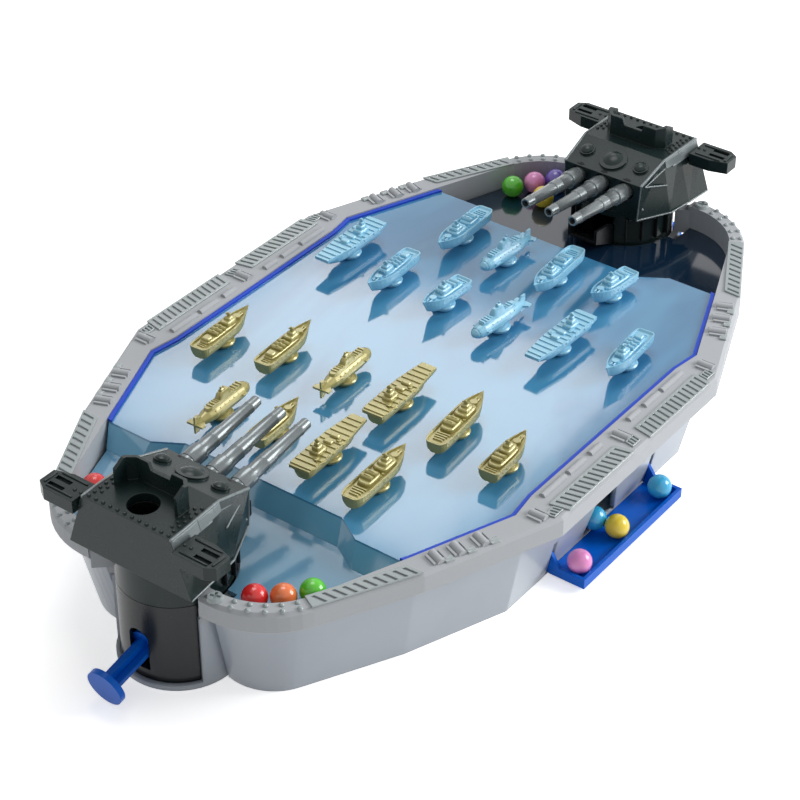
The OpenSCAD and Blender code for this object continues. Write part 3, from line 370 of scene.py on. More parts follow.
class Dresser(Wiring):
    """Wires one material: group nodes into a Principled BSDF."""

    def __init__(self, name: str) -> None:
        """Starts an empty material of that name.

        Args:
            name: The material's name.
        """
        self.material = bpy.data.materials.new(name)
        self.material.use_nodes = True
        super().__init__(self.material.node_tree)
        self.bsdf = self.tree.nodes["Principled BSDF"]

    def group(self, tree: bpy.types.NodeTree, **values: object) -> bpy.types.bpy_prop_collection:
        """Places a node group with its own input values, and gives its outputs."""
        return self.node("ShaderNodeGroup", values, node_tree=tree).outputs

    def surface(self, **values: object) -> None:
        """Feeds the shader's own sockets, each named with underscores for spaces, with sockets or values."""
        for label, value in values.items():
            self.feed(value, self.bsdf.inputs[label.replace("_", " ")])

    def relief(self, height: bpy.types.NodeSocket, depth: float, edge: float = 0.0) -> None:
        """Feeds the normal from a height and from rounded edges.

        Args:
            height: The height socket.
            depth: Bump distance in metres.
            edge: Radius of the rounded edges in metres, or 0 for none.
        """
        bump = self.node("ShaderNodeBump", {"Height": height, "Strength": 1.0, "Distance": depth})
        if edge:
            rounded = self.node("ShaderNodeBevel", {"Radius": edge}, samples=4)
            self.link(rounded.outputs["Normal"], bump.inputs["Normal"])
        self.surface(Normal=bump.outputs["Normal"])


@dataclass(frozen=True)
class MouldedPlastic:
    """Injection-moulded plastic in one colour, with scuffs, grain and rounded edges."""

    name: str
    colour: Colour
    shade: Colour
    roughness: float = 0.4
    spread: float = 0.12
    mottle: float = 0.35
    scuffs: float = 0.25
    scuff_colour: Colour = linear(225, 228, 230)
    grain: float = 0.00002
    edge: float = 0.0004
    coat: float = 0.0
    metallic: float = 0.0
    specular: float = 0.5

    def material(self) -> bpy.types.Material:
        """The material of this finish.

        Returns:
            The finished material.
        """
        dress = Dresser(self.name)
        body = dress.group(Effects.moulded, Colour=rgba(self.colour), Shade=rgba(self.shade),
                           Mottle=self.mottle, Roughness=self.roughness, Spread=self.spread)
        marks = dress.group(Effects.scuffs, Amount=self.scuffs)
        dress.relief(body["Height"], self.grain, self.edge)
        dress.surface(Base_Color=dress.mix(marks["Mask"], body["Colour"], rgba(self.scuff_colour)),
                      Roughness=body["Roughness"], Metallic=self.metallic, Coat_Weight=self.coat,
                      Coat_Roughness=COAT_ROUGHNESS, Specular_IOR_Level=self.specular)
        return dress.material


@dataclass(frozen=True)
class FlakePlastic:
    """Plastic with metal flake, as on the barrels."""

    name: str
    colour: Colour
    glint: Colour
    amount: float = 0.35
    roughness: float = 0.25
    metallic: float = 0.6
    edge: float = 0.0003
    grain: float = 0.00001
    spread: float = 0.15

    def material(self) -> bpy.types.Material:
        """The material of this finish.

        Returns:
            The finished material.
        """
        dress = Dresser(self.name)
        flakes = dress.group(Effects.flakes, Colour=rgba(self.colour), Glint=rgba(self.glint),
                             Amount=self.amount)
        body = dress.group(Effects.moulded, Colour=rgba(self.colour), Shade=rgba(self.colour), Mottle=0.0,
                           Roughness=self.roughness, Spread=self.spread)
        dress.relief(body["Height"], self.grain, self.edge)
        dress.surface(Base_Color=flakes["Colour"], Roughness=body["Roughness"], Metallic=self.metallic)
        return dress.material


@dataclass(frozen=True)
class ClearDeck:
    """The tinted clear sheet of the playfield, with its deep blue lip and steps."""

    name: str
    sheet: Colour = linear(80, 156, 200)
    lip: Colour = linear(10, 74, 214)
    step: Colour = linear(128, 202, 236)
    gutter: Colour = linear(112, 166, 198)
    # Painted shade: the dark colour painted on the far end below the deck's top, for the far turret's shade
    # and its dark reflection
    shade: Colour = linear(22, 46, 70)
    deep: Colour = linear(48, 116, 166)
    wave: float = 0.0003
    clearness: float = 0.2
    refraction: float = 1.49

    def material(self) -> bpy.types.Material:
        """The material of this finish.

        Returns:
            The finished material.
        """
        dress = Dresser(self.name)
        zones = dress.group(Effects.deck, Sheet=rgba(self.sheet), Lip=rgba(self.lip), Step=rgba(self.step),
                            Gutter=rgba(self.gutter), Shade=rgba(self.shade), Deep=rgba(self.deep))
        dress.relief(zones["Height"], self.wave)
        dress.surface(Base_Color=zones["Colour"], Roughness=zones["Roughness"], Coat_Weight=zones["Gloss"],
                      Metallic=0.0, Transmission_Weight=self.clearness, IOR=self.refraction,
                      Coat_Roughness=COAT_ROUGHNESS)
        return dress.material


class Finish(Enum):
    """Every finish on the game, by where it is."""

    HULL = MouldedPlastic("hull_grey", linear(169, 179, 181), linear(151, 161, 164), 0.32, coat=0.2,
                          edge=0.0008)
    TUB = MouldedPlastic("tub_grey", linear(174, 182, 191), linear(157, 165, 176), 0.32, coat=0.2,
                         edge=0.0024)
    TRIM = MouldedPlastic("trim_grey", linear(162, 172, 173), linear(138, 148, 150), 0.26, coat=0.35)
    BASE = MouldedPlastic("base_grey", linear(206, 212, 216), linear(190, 198, 204), 0.5)
    DECK = ClearDeck("clear_blue_sheet")
    ARMOUR = MouldedPlastic("gunmetal_plastic", linear(27, 41, 41), linear(20, 33, 33), 0.27, scuffs=0.05,
                            scuff_colour=linear(130, 136, 138), specular=0.3)
    # Painted highlight: a much lighter copy of the gunmetal plastic, so that the flanks' raised edges and
    # panels look as if they catch the light; only its scuffs are wear
    EDGE = MouldedPlastic("gunmetal_edges", linear(122, 131, 133), linear(96, 105, 107), 0.28, scuffs=0.3,
                          scuff_colour=linear(200, 204, 206), metallic=0.3)
    COLUMN = MouldedPlastic("column_plastic", linear(30, 34, 36), linear(22, 26, 28), 0.26, scuffs=0.08,
                            scuff_colour=linear(110, 115, 118), specular=0.35)
    DARK = MouldedPlastic("black_plastic", linear(20, 23, 25), linear(14, 16, 18), 0.28, scuffs=0.08,
                          specular=0.3)
    BARREL = FlakePlastic("barrel_flake", linear(118, 125, 127), linear(168, 173, 175))
    BLUE = MouldedPlastic("bright_blue_plastic", linear(3, 100, 210), linear(2, 86, 190), 0.3, scuffs=0.02,
                          specular=0.15)
    STEEL = FlakePlastic("bright_steel", linear(165, 168, 172), linear(205, 208, 212), 0.2, 0.3, 1.0)
    GOLD_SHIP = MouldedPlastic("pale_gold_plastic", linear(176, 167, 104), linear(140, 130, 72), 0.27,
                               mottle=0.5, scuffs=0.08, scuff_colour=linear(226, 218, 170), metallic=0.2,
                               coat=0.3, edge=0.0003)
    BLUE_SHIP = MouldedPlastic("pale_blue_plastic", linear(142, 202, 228), linear(108, 172, 204), 0.28,
                               mottle=0.4, scuffs=0.08, coat=0.35, edge=0.0003)

    def material(self) -> bpy.types.Material:
        """The finish's material, made once."""
        return bpy.data.materials.get(self.value.name) or self.value.material()


class BallColour(Enum):
    """The colours of the balls."""

    RED = linear(232, 44, 44)
    ORANGE = linear(246, 128, 70)
    GREEN = linear(92, 205, 45)
    PINK = linear(244, 150, 212)
    YELLOW = linear(248, 218, 60)
    CYAN = linear(60, 182, 232)
    PURPLE = linear(112, 92, 190)

    def material(self) -> bpy.types.Material:
        """Glossy solid plastic of this colour, made once.

        Returns:
            The finished material.
        """
        name = f"ball_{self.name.lower()}"
        shade = tuple(0.86 * value for value in self.value)
        finish = MouldedPlastic(name, self.value, shade, roughness=0.2, spread=0.06, mottle=0.2, scuffs=0.06,
                                coat=0.4, grain=0.000008, edge=0.0)
        return bpy.data.materials.get(name) or finish.material()


# ---- shape maker

Verts = list[bmesh.types.BMVert]


@dataclass(frozen=True)
class SlottedPlate:
    """A raised plate with a row of slots through it, in millimetres along X and across it along Y."""

    ends: Flat
    # First edge, start of the slots, end of the slots and second edge
    rows: Quad
    first_slot: float
    slot_pitch: float
    slots: int
    slot_width: float
    # How far the slots lean along X for each millimetre across
    lean: float
    square_end: bool = False

    @property
    def centres(self) -> list[float]:
        """Centre of each slot along X."""
        return [self.first_slot + self.slot_pitch * i for i in range(self.slots)]

    @property
    def stops(self) -> list[float]:
        """Where the plate's material starts and ends along X."""
        half = self.slot_width / 2
        return [self.ends[0], *(x for c in self.centres for x in (c - half, c + half)), self.ends[1]]


def turned(axis: Vector) -> Matrix:
    """The rotation that takes +Z to the given direction."""
    return axis.to_track_quat("Z", "Y").to_matrix().to_4x4()


def spun(degrees: float, axis: str = "Z") -> Matrix:
    """The rotation by an angle about an axis."""
    return Matrix.Rotation(math.radians(degrees), 4, axis)


class Shaper:
    """Collects shapes in one bmesh, in millimetres, and makes one finished piece of them."""

    # Angles in radians: edges over the first are bevelled, edges under the second are shaded smooth
    sharp = 0.5
    smooth = math.radians(34)
    fine_bevel = 0.18
    merge = 1e-4

    def __init__(self, frame_matrix: Matrix | None = None) -> None:
        """Starts an empty piece in a local frame, which is the game's own by default."""
        self.bm = bmesh.new()
        self.base = frame_matrix or Matrix.Identity(4)

    def soften(self, verts: Verts, width: float, segments: int = 2) -> None:
        """Bevels every sharp edge of a shape.

        Args:
            verts: The shape's vertices.
            width: Bevel width in millimetres.
            segments: Segments across the bevel.
        """
        edges = [e for e in {e for v in verts for e in v.link_edges} if len(e.link_faces) == 2
                 and e.calc_face_angle(0) > self.sharp]
        bmesh.ops.bevel(self.bm, geom=edges, offset=width, segments=segments, profile=0.5, affect="EDGES",
                        material=-1, clamp_overlap=True)

    def outwards(self, verts: Verts) -> None:
        """Turns the faces of a shape outwards."""
        bmesh.ops.recalc_face_normals(self.bm, faces=list({f for v in verts for f in v.link_faces}))

    def raised(self, faces: list[bmesh.types.BMFace], lift: Vector) -> Verts:
        """Pulls faces up into a solid, and gives the vertices of its upper side.

        Args:
            faces: The faces to pull.
            lift: How far, and which way.

        Returns:
            The vertices of the raised side.
        """
        made = bmesh.ops.extrude_face_region(self.bm, geom=faces)
        tops = [item for item in made["geom"] if isinstance(item, bmesh.types.BMVert)]
        bmesh.ops.translate(self.bm, verts=tops, vec=lift)
        return tops

    def block(self, centre: Point, size: Point, bevel: float = 0.25, turn: Matrix | None = None) -> None:
        """A box with softened edges.

        Args:
            centre: Its centre.
            size: Its length, width and height.
            bevel: Width of its soft edges.
            turn: Its rotation about the centre.
        """
        place = self.base @ Matrix.Translation(centre) @ (turn or Matrix.Identity(4))
        made = bmesh.ops.create_cube(self.bm, size=1, matrix=place @ Matrix.Diagonal((*size, 1)))
        self.soften(made["verts"], bevel)

    def rod(self, start: Point, end: Point, r0: float, r1: float, segments: int = 8) -> None:
        """A round bar or cone between two points.

        Args:
            start: Centre of its first end.
            end: Centre of its other end.
            r0: Radius at the start.
            r1: Radius at the end.
            segments: Sides of the bar.
        """
        a, b = Vector(start), Vector(end)
        matrix = self.base @ Matrix.Translation((a + b) / 2) @ turned(b - a)
        bmesh.ops.create_cone(self.bm, cap_ends=True, segments=segments, radius1=r0, radius2=r1,
                              depth=(b - a).length, matrix=matrix)

    def dome(self, centre: Point, radius: float, height: float, normal: Point = UP, sides: int = 8) -> None:
        """A rivet or button: half an ellipsoid stands out of the surface.

        Args:
            centre: Its centre on the surface.
            radius: Its radius.
            height: How far it stands out.
            normal: The surface's direction.
            sides: Sides round it.
        """
        matrix = self.base @ Matrix.Translation(centre) @ turned(Vector(normal)) @ Matrix.Diagonal(
            (1, 1, height / radius, 1))
        bmesh.ops.create_uvsphere(self.bm, u_segments=sides, v_segments=max(4, sides // 2), radius=radius,
                                  matrix=matrix)

    def slotted(self, plate: SlottedPlate, place: Matrix, height: float) -> None:
        """A raised plate with slots.

        Args:
            plate: The plate's shape.
            place: The plate's frame.
            height: Height of the plate.
        """
        stops, rows = plate.stops, plate.rows
        last_column, last_row = len(stops) - 1, len(rows) - 1
        middle = (rows[1] + rows[2]) / 2
        low = bmesh.ops.create_grid(self.bm, x_segments=last_column, y_segments=last_row, size=1)["verts"]
        for v in low:
            # The new grid runs from -1 to 1 both ways
            column = round((v.co.x + 1) / 2 * last_column)
            row = round((v.co.y + 1) / 2 * last_row)
            slope = 0.0 if plate.square_end and column == last_column else plate.lean
            v.co = (stops[column] + slope * (rows[row] - middle), rows[row], 0)
        faces = {f for v in low for f in v.link_faces}
        holes = {f for f in faces if rows[1] < f.calc_center_median().y < rows[2]
                 and any(abs(f.calc_center_median().x - c) < plate.slot_width / 2 for c in plate.centres)}
        solid = list(faces - holes)
        bmesh.ops.delete(self.bm, geom=list(holes), context="FACES")
        verts = self.raised(solid, Vector((0, 0, height))) + [v for v in low if v.is_valid]
        bmesh.ops.transform(self.bm, matrix=self.base @ place, verts=verts)
        self.outwards(verts)
        self.soften(verts, self.fine_bevel, 1)

    def ribbon(self, points: Sequence[Point], radius: float, sides: int = 8) -> None:
        """A raised bead that follows a line of points, with round joints.

        Args:
            points: The line's points.
            radius: The bead's radius.
            sides: Sides round the bead.
        """
        for a, b in zip(points, points[1:]):
            self.rod(a, b, radius, radius, sides)
        for p in points:
            self.dome(p, radius, radius, sides=sides)

    def lathe(self, profile: list[Flat], axis: Matrix, steps: int = 40) -> None:
        """A turned shape: a profile of radius and height, spun about the local Z of axis.

        Args:
            profile: Radius and height of each point, from the axis back to the axis.
            axis: Placing of the turned shape.
            steps: Segments round it.
        """
        before = set(self.bm.verts)
        verts = [self.bm.verts.new((r, 0, h)) for r, h in profile]
        edges = [self.bm.edges.new(pair) for pair in zip(verts, verts[1:])]
        bmesh.ops.spin(self.bm, geom=verts + edges, cent=(0, 0, 0), axis=(0, 0, 1), dvec=(0, 0, 0),
                       angle=math.tau, steps=steps, use_merge=True)
        made = [v for v in self.bm.verts if v not in before]
        bmesh.ops.remove_doubles(self.bm, verts=made, dist=self.merge)
        made = [v for v in self.bm.verts if v not in before]
        self.outwards(made)
        bmesh.ops.transform(self.bm, matrix=self.base @ axis, verts=made)

    def coil(self, wire: float, radius: float, start: float, end: float, turns: int, steps: int = 18) -> None:
        """A coil of round wire about the local Z.

        Args:
            wire: The wire's radius.
            radius: Radius of the coil's middle line.
            start: Height of the wire's middle where the coil begins.
            end: Height of the wire's middle where it ends.
            turns: Full turns from start to end.
            steps: Segments in one turn.
        """
        upright = Matrix.Translation((radius, 0, start)) @ spun(90, "X")
        made = bmesh.ops.create_circle(self.bm, cap_ends=False, segments=8, radius=wire, matrix=upright)
        ring = made["verts"]
        edges = list({edge for v in ring for edge in v.link_edges})
        rise = (0, 0, (end - start) / (turns * steps))
        bmesh.ops.spin(self.bm, geom=ring + edges, cent=(0, 0, 0), axis=(0, 0, 1), dvec=rise,
                       angle=math.tau * turns, steps=turns * steps)
        bmesh.ops.holes_fill(self.bm, edges=[edge for edge in self.bm.edges if edge.is_boundary])
        bmesh.ops.recalc_face_normals(self.bm, faces=self.bm.faces)
        bmesh.ops.transform(self.bm, matrix=self.base, verts=self.bm.verts)

    def finish(self, name: str, material: bpy.types.Material, body: str, slot: str,
               replaces: tuple[str, ...] = ()) -> bpy.types.Object:
        """Makes the piece, in metres, at the origin, riding its body.

        Args:
            name: The piece's name.
            material: Its material.
            body: The body that it rides on.
            slot: The name of a material slot; not used.
            replaces: CAD nodes that it stands for.

        Returns:
            The finished object.
        """
        bmesh.ops.scale(self.bm, vec=(MM, MM, MM), verts=self.bm.verts)
        for face in self.bm.faces:
            face.smooth = True
        for edge in self.bm.edges:
            edge.smooth = edge.calc_face_angle(0) < self.smooth
        mesh = bpy.data.meshes.new(name)
        self.bm.to_mesh(mesh)
        self.bm.free()
        mesh.materials.append(material)
        made = placed(name, mesh)
        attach(made, body)
        if replaces:
            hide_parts(*replaces)
        LOG.info("%s: %d faces on %s", name, len(mesh.polygons), body)
        return made


def placed(name: str, data: bpy.types.ID) -> bpy.types.Object:
    """A new object of the scene with that data.

    Args:
        name: The object's name.
        data: Its mesh, lamp or camera.

    Returns:
        The new object.
    """
    made = bpy.data.objects.new(name, data)
    bpy.context.scene.collection.objects.link(made)
    return made


def aim(made: bpy.types.Object, place: Point, direction: Vector) -> None:
    """Puts a lamp or camera in its place, looking in a direction."""
    made.location = place
    made.rotation_euler = direction.to_track_quat("-Z", "Y").to_euler()


def dress_node(node: str, finish: Finish) -> None:
    """Gives a CAD node its finish in its own material slot.

    Args:
        node: The CAD node's name.
        finish: What it is made of.
    """
    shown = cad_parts[node]
    shown.data.materials.clear()
    shown.data.materials.append(finish.material())
    LOG.info("%s: %s", node, finish.value.name)


# ---- rim


@dataclass
class Rim:
    """The rim's raised trim: slotted plates, small combs, clip feet and rivets on its flat top."""

    top: float = 60.0
    half_width: float = 126.5
    straight: float = 67.0
    shoulder: Flat = (135.0, 100.0)
    lobe: Flat = (160.0, 36.0)
    lobe_radius: float = 45.0
    rib_height: float = 0.9
    plate_sunk: float = 0.05
    foot_sunk: float = 0.1
    foot_size: Flat = (4.6, 3.6)
    foot_inwards: float = 3.0
    clip_feet: Point = (35.2, 47.2, 58.8)
    rivet_rows: Flat = (2.1, 6.1)
    rivets_from: float = 15.2
    rivets_apart: float = 10.0
    rivets: int = 5
    bend_comb: float = 66.4
    centre_comb: float = -0.4
    side_plate: SlottedPlate = SlottedPlate((2.2, 52.6), (0.5, 1.3, 7.0, 8.6), 5.0, 4.75, 10, 1.6, 0.6, True)
    middle_plate: SlottedPlate = SlottedPlate((7.6, 62.0), (0.6, 1.6, 9.2, 10.7), 10.6, 3.73, 14, 1.35, 0.2)
    comb_plate: SlottedPlate = SlottedPlate((-3.6, 3.6), (3.2, 3.9, 7.6, 8.3), -2.1, 2.1, 3, 0.95, 0.2)

    def side_frames(self) -> tuple[tuple[Vector, Vector], tuple[Vector, Vector]]:
        """The start and the run of the two slanting sides, each on the outer edge.

        Returns:
            For each side its first corner and the unit vector along it.
        """
        corner = Vector(self.shoulder)
        first = Vector((self.straight, self.half_width))
        away = corner - Vector(self.lobe)
        angle = math.atan2(away.y, away.x) - math.acos(self.lobe_radius / away.length)
        touch = Vector(self.lobe) + self.lobe_radius * Vector((math.cos(angle), math.sin(angle)))
        return (first, (corner - first).normalized()), (corner, (touch - corner).normalized())

    @property
    def middle(self) -> Matrix:
        """The edge frame of the straight middle."""
        return self.edge_frame(Vector((0, self.half_width)), Vector((1, 0)))

    def edge_frame(self, start: Vector, run: Vector) -> Matrix:
        """A frame on the rim's outer edge: X along the edge, Y inwards, level with the rim's top.

        Args:
            start: A point on the outer edge.
            run: The unit vector along the edge.

        Returns:
            The frame as a matrix.
        """
        inward = Vector((run.y, -run.x))
        return Matrix(((run.x, inward.x, 0, start.x), (run.y, inward.y, 0, start.y),
                       (0, 0, 1, self.top - self.plate_sunk), (0, 0, 0, 1)))

    def comb(self, shaper: Shaper, along: float) -> None:
        """A small plate with three slots beside a clip of the straight middle."""
        shaper.slotted(self.comb_plate, self.middle @ Matrix.Translation((along, 0, 0)), self.rib_height)

    def quarter(self, shaper: Shaper) -> None:
        """All the trim of the quarter with x and y above zero.

        Args:
            shaper: Where it is made.
        """
        sides = self.side_frames()
        first, second = (self.edge_frame(*side) for side in sides)
        shaper.slotted(self.side_plate, second, self.rib_height)
        shaper.slotted(self.middle_plate, self.middle, self.rib_height)
        # A small comb beside the clip at the bend
        self.comb(shaper, self.bend_comb)
        # The foot of each clip of the first slanting side
        run = sides[0][1]
        turn = Matrix.Rotation(math.atan2(run.y, run.x), 4, "Z")
        for along in self.clip_feet:
            at = first @ Vector((along, self.foot_inwards, 0))
            shaper.block((at.x, at.y, self.top + self.rib_height / 2 - self.foot_sunk),
                         (*self.foot_size, self.rib_height + 2 * self.foot_sunk), 0.3, turn)
        # Rivets in two rows round the lobe
        for i in range(self.rivets):
            turn = spun(self.rivets_from + self.rivets_apart * i)
            for inwards in self.rivet_rows:
                at = Vector((*self.lobe, self.top)) + turn @ Vector((self.lobe_radius - inwards, 0, 0))
                shaper.dome(at, radius=1.4, height=1.2, sides=12)

    def build(self) -> None:
        """Makes the trim of all four quarters and dresses the rim and the tub."""
        for index, (sx, sy) in enumerate(((1, 1), (-1, 1), (1, -1), (-1, -1))):
            shaper = Shaper(Matrix.Diagonal((sx, sy, 1, 1)))
            self.quarter(shaper)
            if sx > 0:
                self.comb(shaper, self.centre_comb)
            bmesh.ops.recalc_face_normals(shaper.bm, faces=shaper.bm.faces)
            shaper.finish(f"rim_trim_{index + 1}", Finish.TRIM.material(), "hull", "hull_grey")
        for node, finish in (("rim_frame", Finish.HULL), ("lower_tub", Finish.TUB),
                             ("rim_screws", Finish.TRIM), ("bottom_plate", Finish.BASE),
                             ("deck_posts", Finish.BASE), ("base_screws", Finish.STEEL),
                             ("pivot_retainers", Finish.STEEL), ("playfield", Finish.DECK)):
            dress_node(node, finish)


# ---- turret


@dataclass
class Turret:
    """One gun turret: rivets, raised panel edges, gun hoods, barrels, fins, grips and spring."""

    side: int
    axis_x: float = 184.0
    roof: float = 92.5
    column_radius: float = 26.7
    skirt: Flat = (49.0, 63.4)
    grip_top: float = 89.6
    grip_studs: Flat = (29.5, 33.0)
    gun_root: Flat = (28.0, 81.5)
    gun_pitch: float = 14.4
    gun_tilt: float = 7.0
    muzzle: float = 2.7
    muzzle_x: float = 76.0
    breech_centre: Point = (14, 0, 79)
    breech_size: Point = (6, 38, 11)
    plunger_height: float = 22.0
    plunger_tilt: float = 12.0
    coil_wire: float = 0.6
    coil_radius: float = 4.0
    coil_start: float = -19.9
    coil_end: float = -1.6
    coil_shut: float = 0.277
    # Rows of distance from the axis, half width and height, along the roof's edge and the lower edge
    roof_line: tuple[Point, ...] = ((-28, 25, 92.5), (-11, 24.7, 92.9), (4, 24.5, 93.3), (25, 23.5, 86.5))
    foot_line: tuple[Point, ...] = ((-28, 35, 63.5), (-11, 33.5, 63.5), (4, 31.5, 63.5), (25, 22, 65))

    @property
    def label(self) -> str:
        """Which turret it is."""
        return "left" if self.side < 0 else "right"

    @property
    def frame(self) -> Matrix:
        """The turret's local frame: +X towards the middle of the game."""
        return Matrix.Translation((self.side * self.axis_x, 0, 0)) @ spun(0 if self.side < 0 else 180)

    @staticmethod
    def between(line: tuple[Point, ...], u: float) -> Flat:
        """Half width and height of a line at u, straight between its rows.

        Args:
            line: Rows of distance from the axis, half width and height.
            u: The distance to read at.

        Returns:
            Half width and height there.
        """
        for (u0, w0, z0), (u1, w1, z1) in zip(line, line[1:]):
            if u <= u1:
                share = (u - u0) / (u1 - u0)
                return w0 + share * (w1 - w0), z0 + share * (z1 - z0)
        return line[-1][1:]

    def on_flank(self, u: float, share: float, side: int) -> Point:
        """A point on the turret's flank: share 0 is the roof's edge and 1 the lower edge."""
        (w0, z0), (w1, z1) = self.between(self.roof_line, u), self.between(self.foot_line, u)
        return u, side * (w0 + share * (w1 - w0)), z0 + share * (z1 - z0)

    def flank(self, shaper: Shaper, side: int) -> None:
        """Raised edges and panels of one flank, each point as u and share down the flank; the build gives
        them the gunmetal with a painted highlight.

        Args:
            shaper: Where it is made.
            side: Which flank, -1 or 1.
        """
        beads = [
            (0.75, [(-27.6, 0.01), (-11, 0.01), (4, 0.01), (24.4, 0.01)]),
            (0.45, [(-27.3, 0.2), (-11, 0.2), (-3, 0.2)]),
            (0.5, [(-27.4, 0.02), (-27.4, 0.4)]),
            (0.45, [(1, 0.14), (20.5, 0.16), (4.5, 0.46)]),
            (0.5, [(24.4, 0.02), (24.4, 0.97)]),
            (0.5, [(-27.4, 0.985), (-11, 0.985), (4, 0.985), (24.4, 0.985)]),
        ]
        for radius, points in beads:
            shaper.ribbon([self.on_flank(u, share, side) for u, share in points], radius)
        self.panel(shaper, [(-27.6, 0.03), (-11, 0.03), (-11, 0.2), (-27.6, 0.22)], side)
        self.panel(shaper, [(-11, 0.03), (3.6, 0.03), (3.6, 0.17), (-11, 0.2)], side)
        shaper.dome(self.on_flank(21.5, 0.72, side), radius=0.8, height=0.7, normal=(0, side, 0.3))

    def rivets(self, shaper: Shaper) -> None:
        """Rivet rows along the roof's rear edge and its sides.

        Args:
            shaper: Where it is made.
        """
        half, count = 22.6, 12
        for i in range(count):
            shaper.dome((-26.0, -half + i * 2 * half / (count - 1), self.roof + 0.05), 1.0, 1.0)
        rows = [(22.4, 0.95, [-22.6 + 3.6 * i for i in range(6)]),
                (19.9, 0.9, [-20.8 + 3.6 * i for i in range(5)])]
        for side in SIDES:
            for v, size, us in rows:
                for u in us:
                    shaper.dome((u, side * v, self.between(self.roof_line, u)[1] + 0.02), size, size)

    def guns(self, along: float = 0.0, up: float = 0.0) -> list[Matrix]:
        """The frames of the three barrels, +Z to the muzzle, each moved from its root.

        Args:
            along: Shift along X from the root.
            up: Shift along Z from the root.

        Returns:
            One matrix for each barrel.
        """
        root, height = self.gun_root
        turn = spun(90 - self.gun_tilt, "Y")
        return [Matrix.Translation((root + along, k * self.gun_pitch, height + up)) @ turn
                for k in (-1, 0, 1)]

    def hoods(self, shaper: Shaper) -> None:
        """Dark arches where the three barrels leave the roof.

        Args:
            shaper: Where it is made.
        """
        profile = [(5.15, -3.0), (6.4, -3.0), (6.4, 2.6), (5.9, 3.1), (5.15, 3.1), (5.15, -3.0)]
        for place in self.guns(along=-6.2, up=-0.7):
            shaper.lathe(profile, place, steps=28)

    def barrels(self, shaper: Shaper) -> None:
        """Three stepped barrels with open muzzles, and the block that holds their breeches.

        Args:
            shaper: Where it is made.
        """
        length = (self.muzzle_x - self.gun_root[0]) / math.cos(math.radians(self.gun_tilt))
        steps = [(0, -14), (4.3, -14), (4.3, 0), (4.55, 0), (4.7, 0.25), (4.7, 8.2), (4.45, 8.5), (3.95, 8.6),
                 (3.78, 16.6), (3.9, 16.8), (3.9, 17.5), (3.75, 17.7), (3.7, 22.9), (3.25, 23.1)]
        # The muzzle's ring and bore, from the muzzle's radius and end
        ring = [(0.18, -6.4), (0.3, -6.2), (0.3, -5.4), (0.1, -5.2), (0, -0.3), (-0.25, 0), (-0.9, 0),
                (-1.0, -0.3), (-1.0, -7), (-self.muzzle, -7)]
        profile = steps + [(self.muzzle + r, length + h) for r, h in ring]
        for place in self.guns():
            shaper.lathe(profile, place)
        shaper.block(self.breech_centre, self.breech_size, bevel=0.4)

    def panel(self, shaper: Shaper, corners: list[Flat], side: int, lift: float = 0.5,
              sunk: float = 0.4) -> None:
        """A raised flat panel on a flank.

        Args:
            shaper: Where it is made.
            corners: Its corners, each as u and share down the flank.
            side: Which flank.
            lift: How far it stands out.
            sunk: How far it reaches into the flank.
        """
        points = [Vector(self.on_flank(u, share, side)) for u, share in corners]
        normal = (points[1] - points[0]).cross(points[2] - points[0]).normalized()
        if normal.y * side < 0:
            normal.negate()
        low = [shaper.bm.verts.new(shaper.base @ (p - sunk * normal)) for p in points]
        outwards = shaper.base.to_3x3() @ ((lift + sunk) * normal)
        verts = low + shaper.raised([shaper.bm.faces.new(low)], outwards)
        shaper.outwards(verts)
        shaper.soften(verts, 0.2, 1)

    def fins(self, shaper: Shaper) -> None:
        """Upright fins and arches on the skirt under the flanks.

        Args:
            shaper: Where it is made.
        """
        low, high = self.skirt
        fins = [(angle, 0.9, (low + high) / 2, (2.4, 1.1, high - low), 0.3) for angle in (34, 52, 70, 86)]
        arches = [(angle, 0.8, high - 1.0, (2.0, 7.2, 1.6), 0.4) for angle in (43, 61, 78)]
        for side in SIDES:
            for angle, out, height, size, bevel in fins + arches:
                turn = spun(side * angle)
                shaper.block(turn @ Vector((self.column_radius + out, 0, height)), size, bevel, turn)

    def grip_details(self, shaper: Shaper) -> None:
        """Raised rails and studs on the side grips.

        Args:
            shaper: Where it is made.
        """
        rails = [(-28.6, 38, (1.0, 15, 0.7)), (-18.4, 38, (1.0, 15, 0.7)), (-23.6, 47.6, (8.0, 1.2, 0.7))]
        for side in SIDES:
            for u, v, size in rails:
                shaper.block((u, side * v, self.grip_top + 0.2), size)
            for v in self.grip_studs:
                shaper.dome((-24.0, side * v, self.grip_top), 1.0, 0.8)

    def spring(self) -> None:
        """The plunger's return spring, a coil along the plunger's line that rests against its guide plate."""
        centre = Matrix.Translation((0, 0, self.plunger_height))
        line = self.frame @ centre @ spun(90 - self.plunger_tilt, "Y")
        shaper = Shaper(line)
        shaper.coil(self.coil_wire, self.coil_radius, self.coil_start, self.coil_end, turns=4)
        made = shaper.finish(f"{self.label}_return_spring", Finish.STEEL.material(), f"{self.label}_turret",
                             "steel", (f"{self.label}_plunger_spring",))
        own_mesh(made)

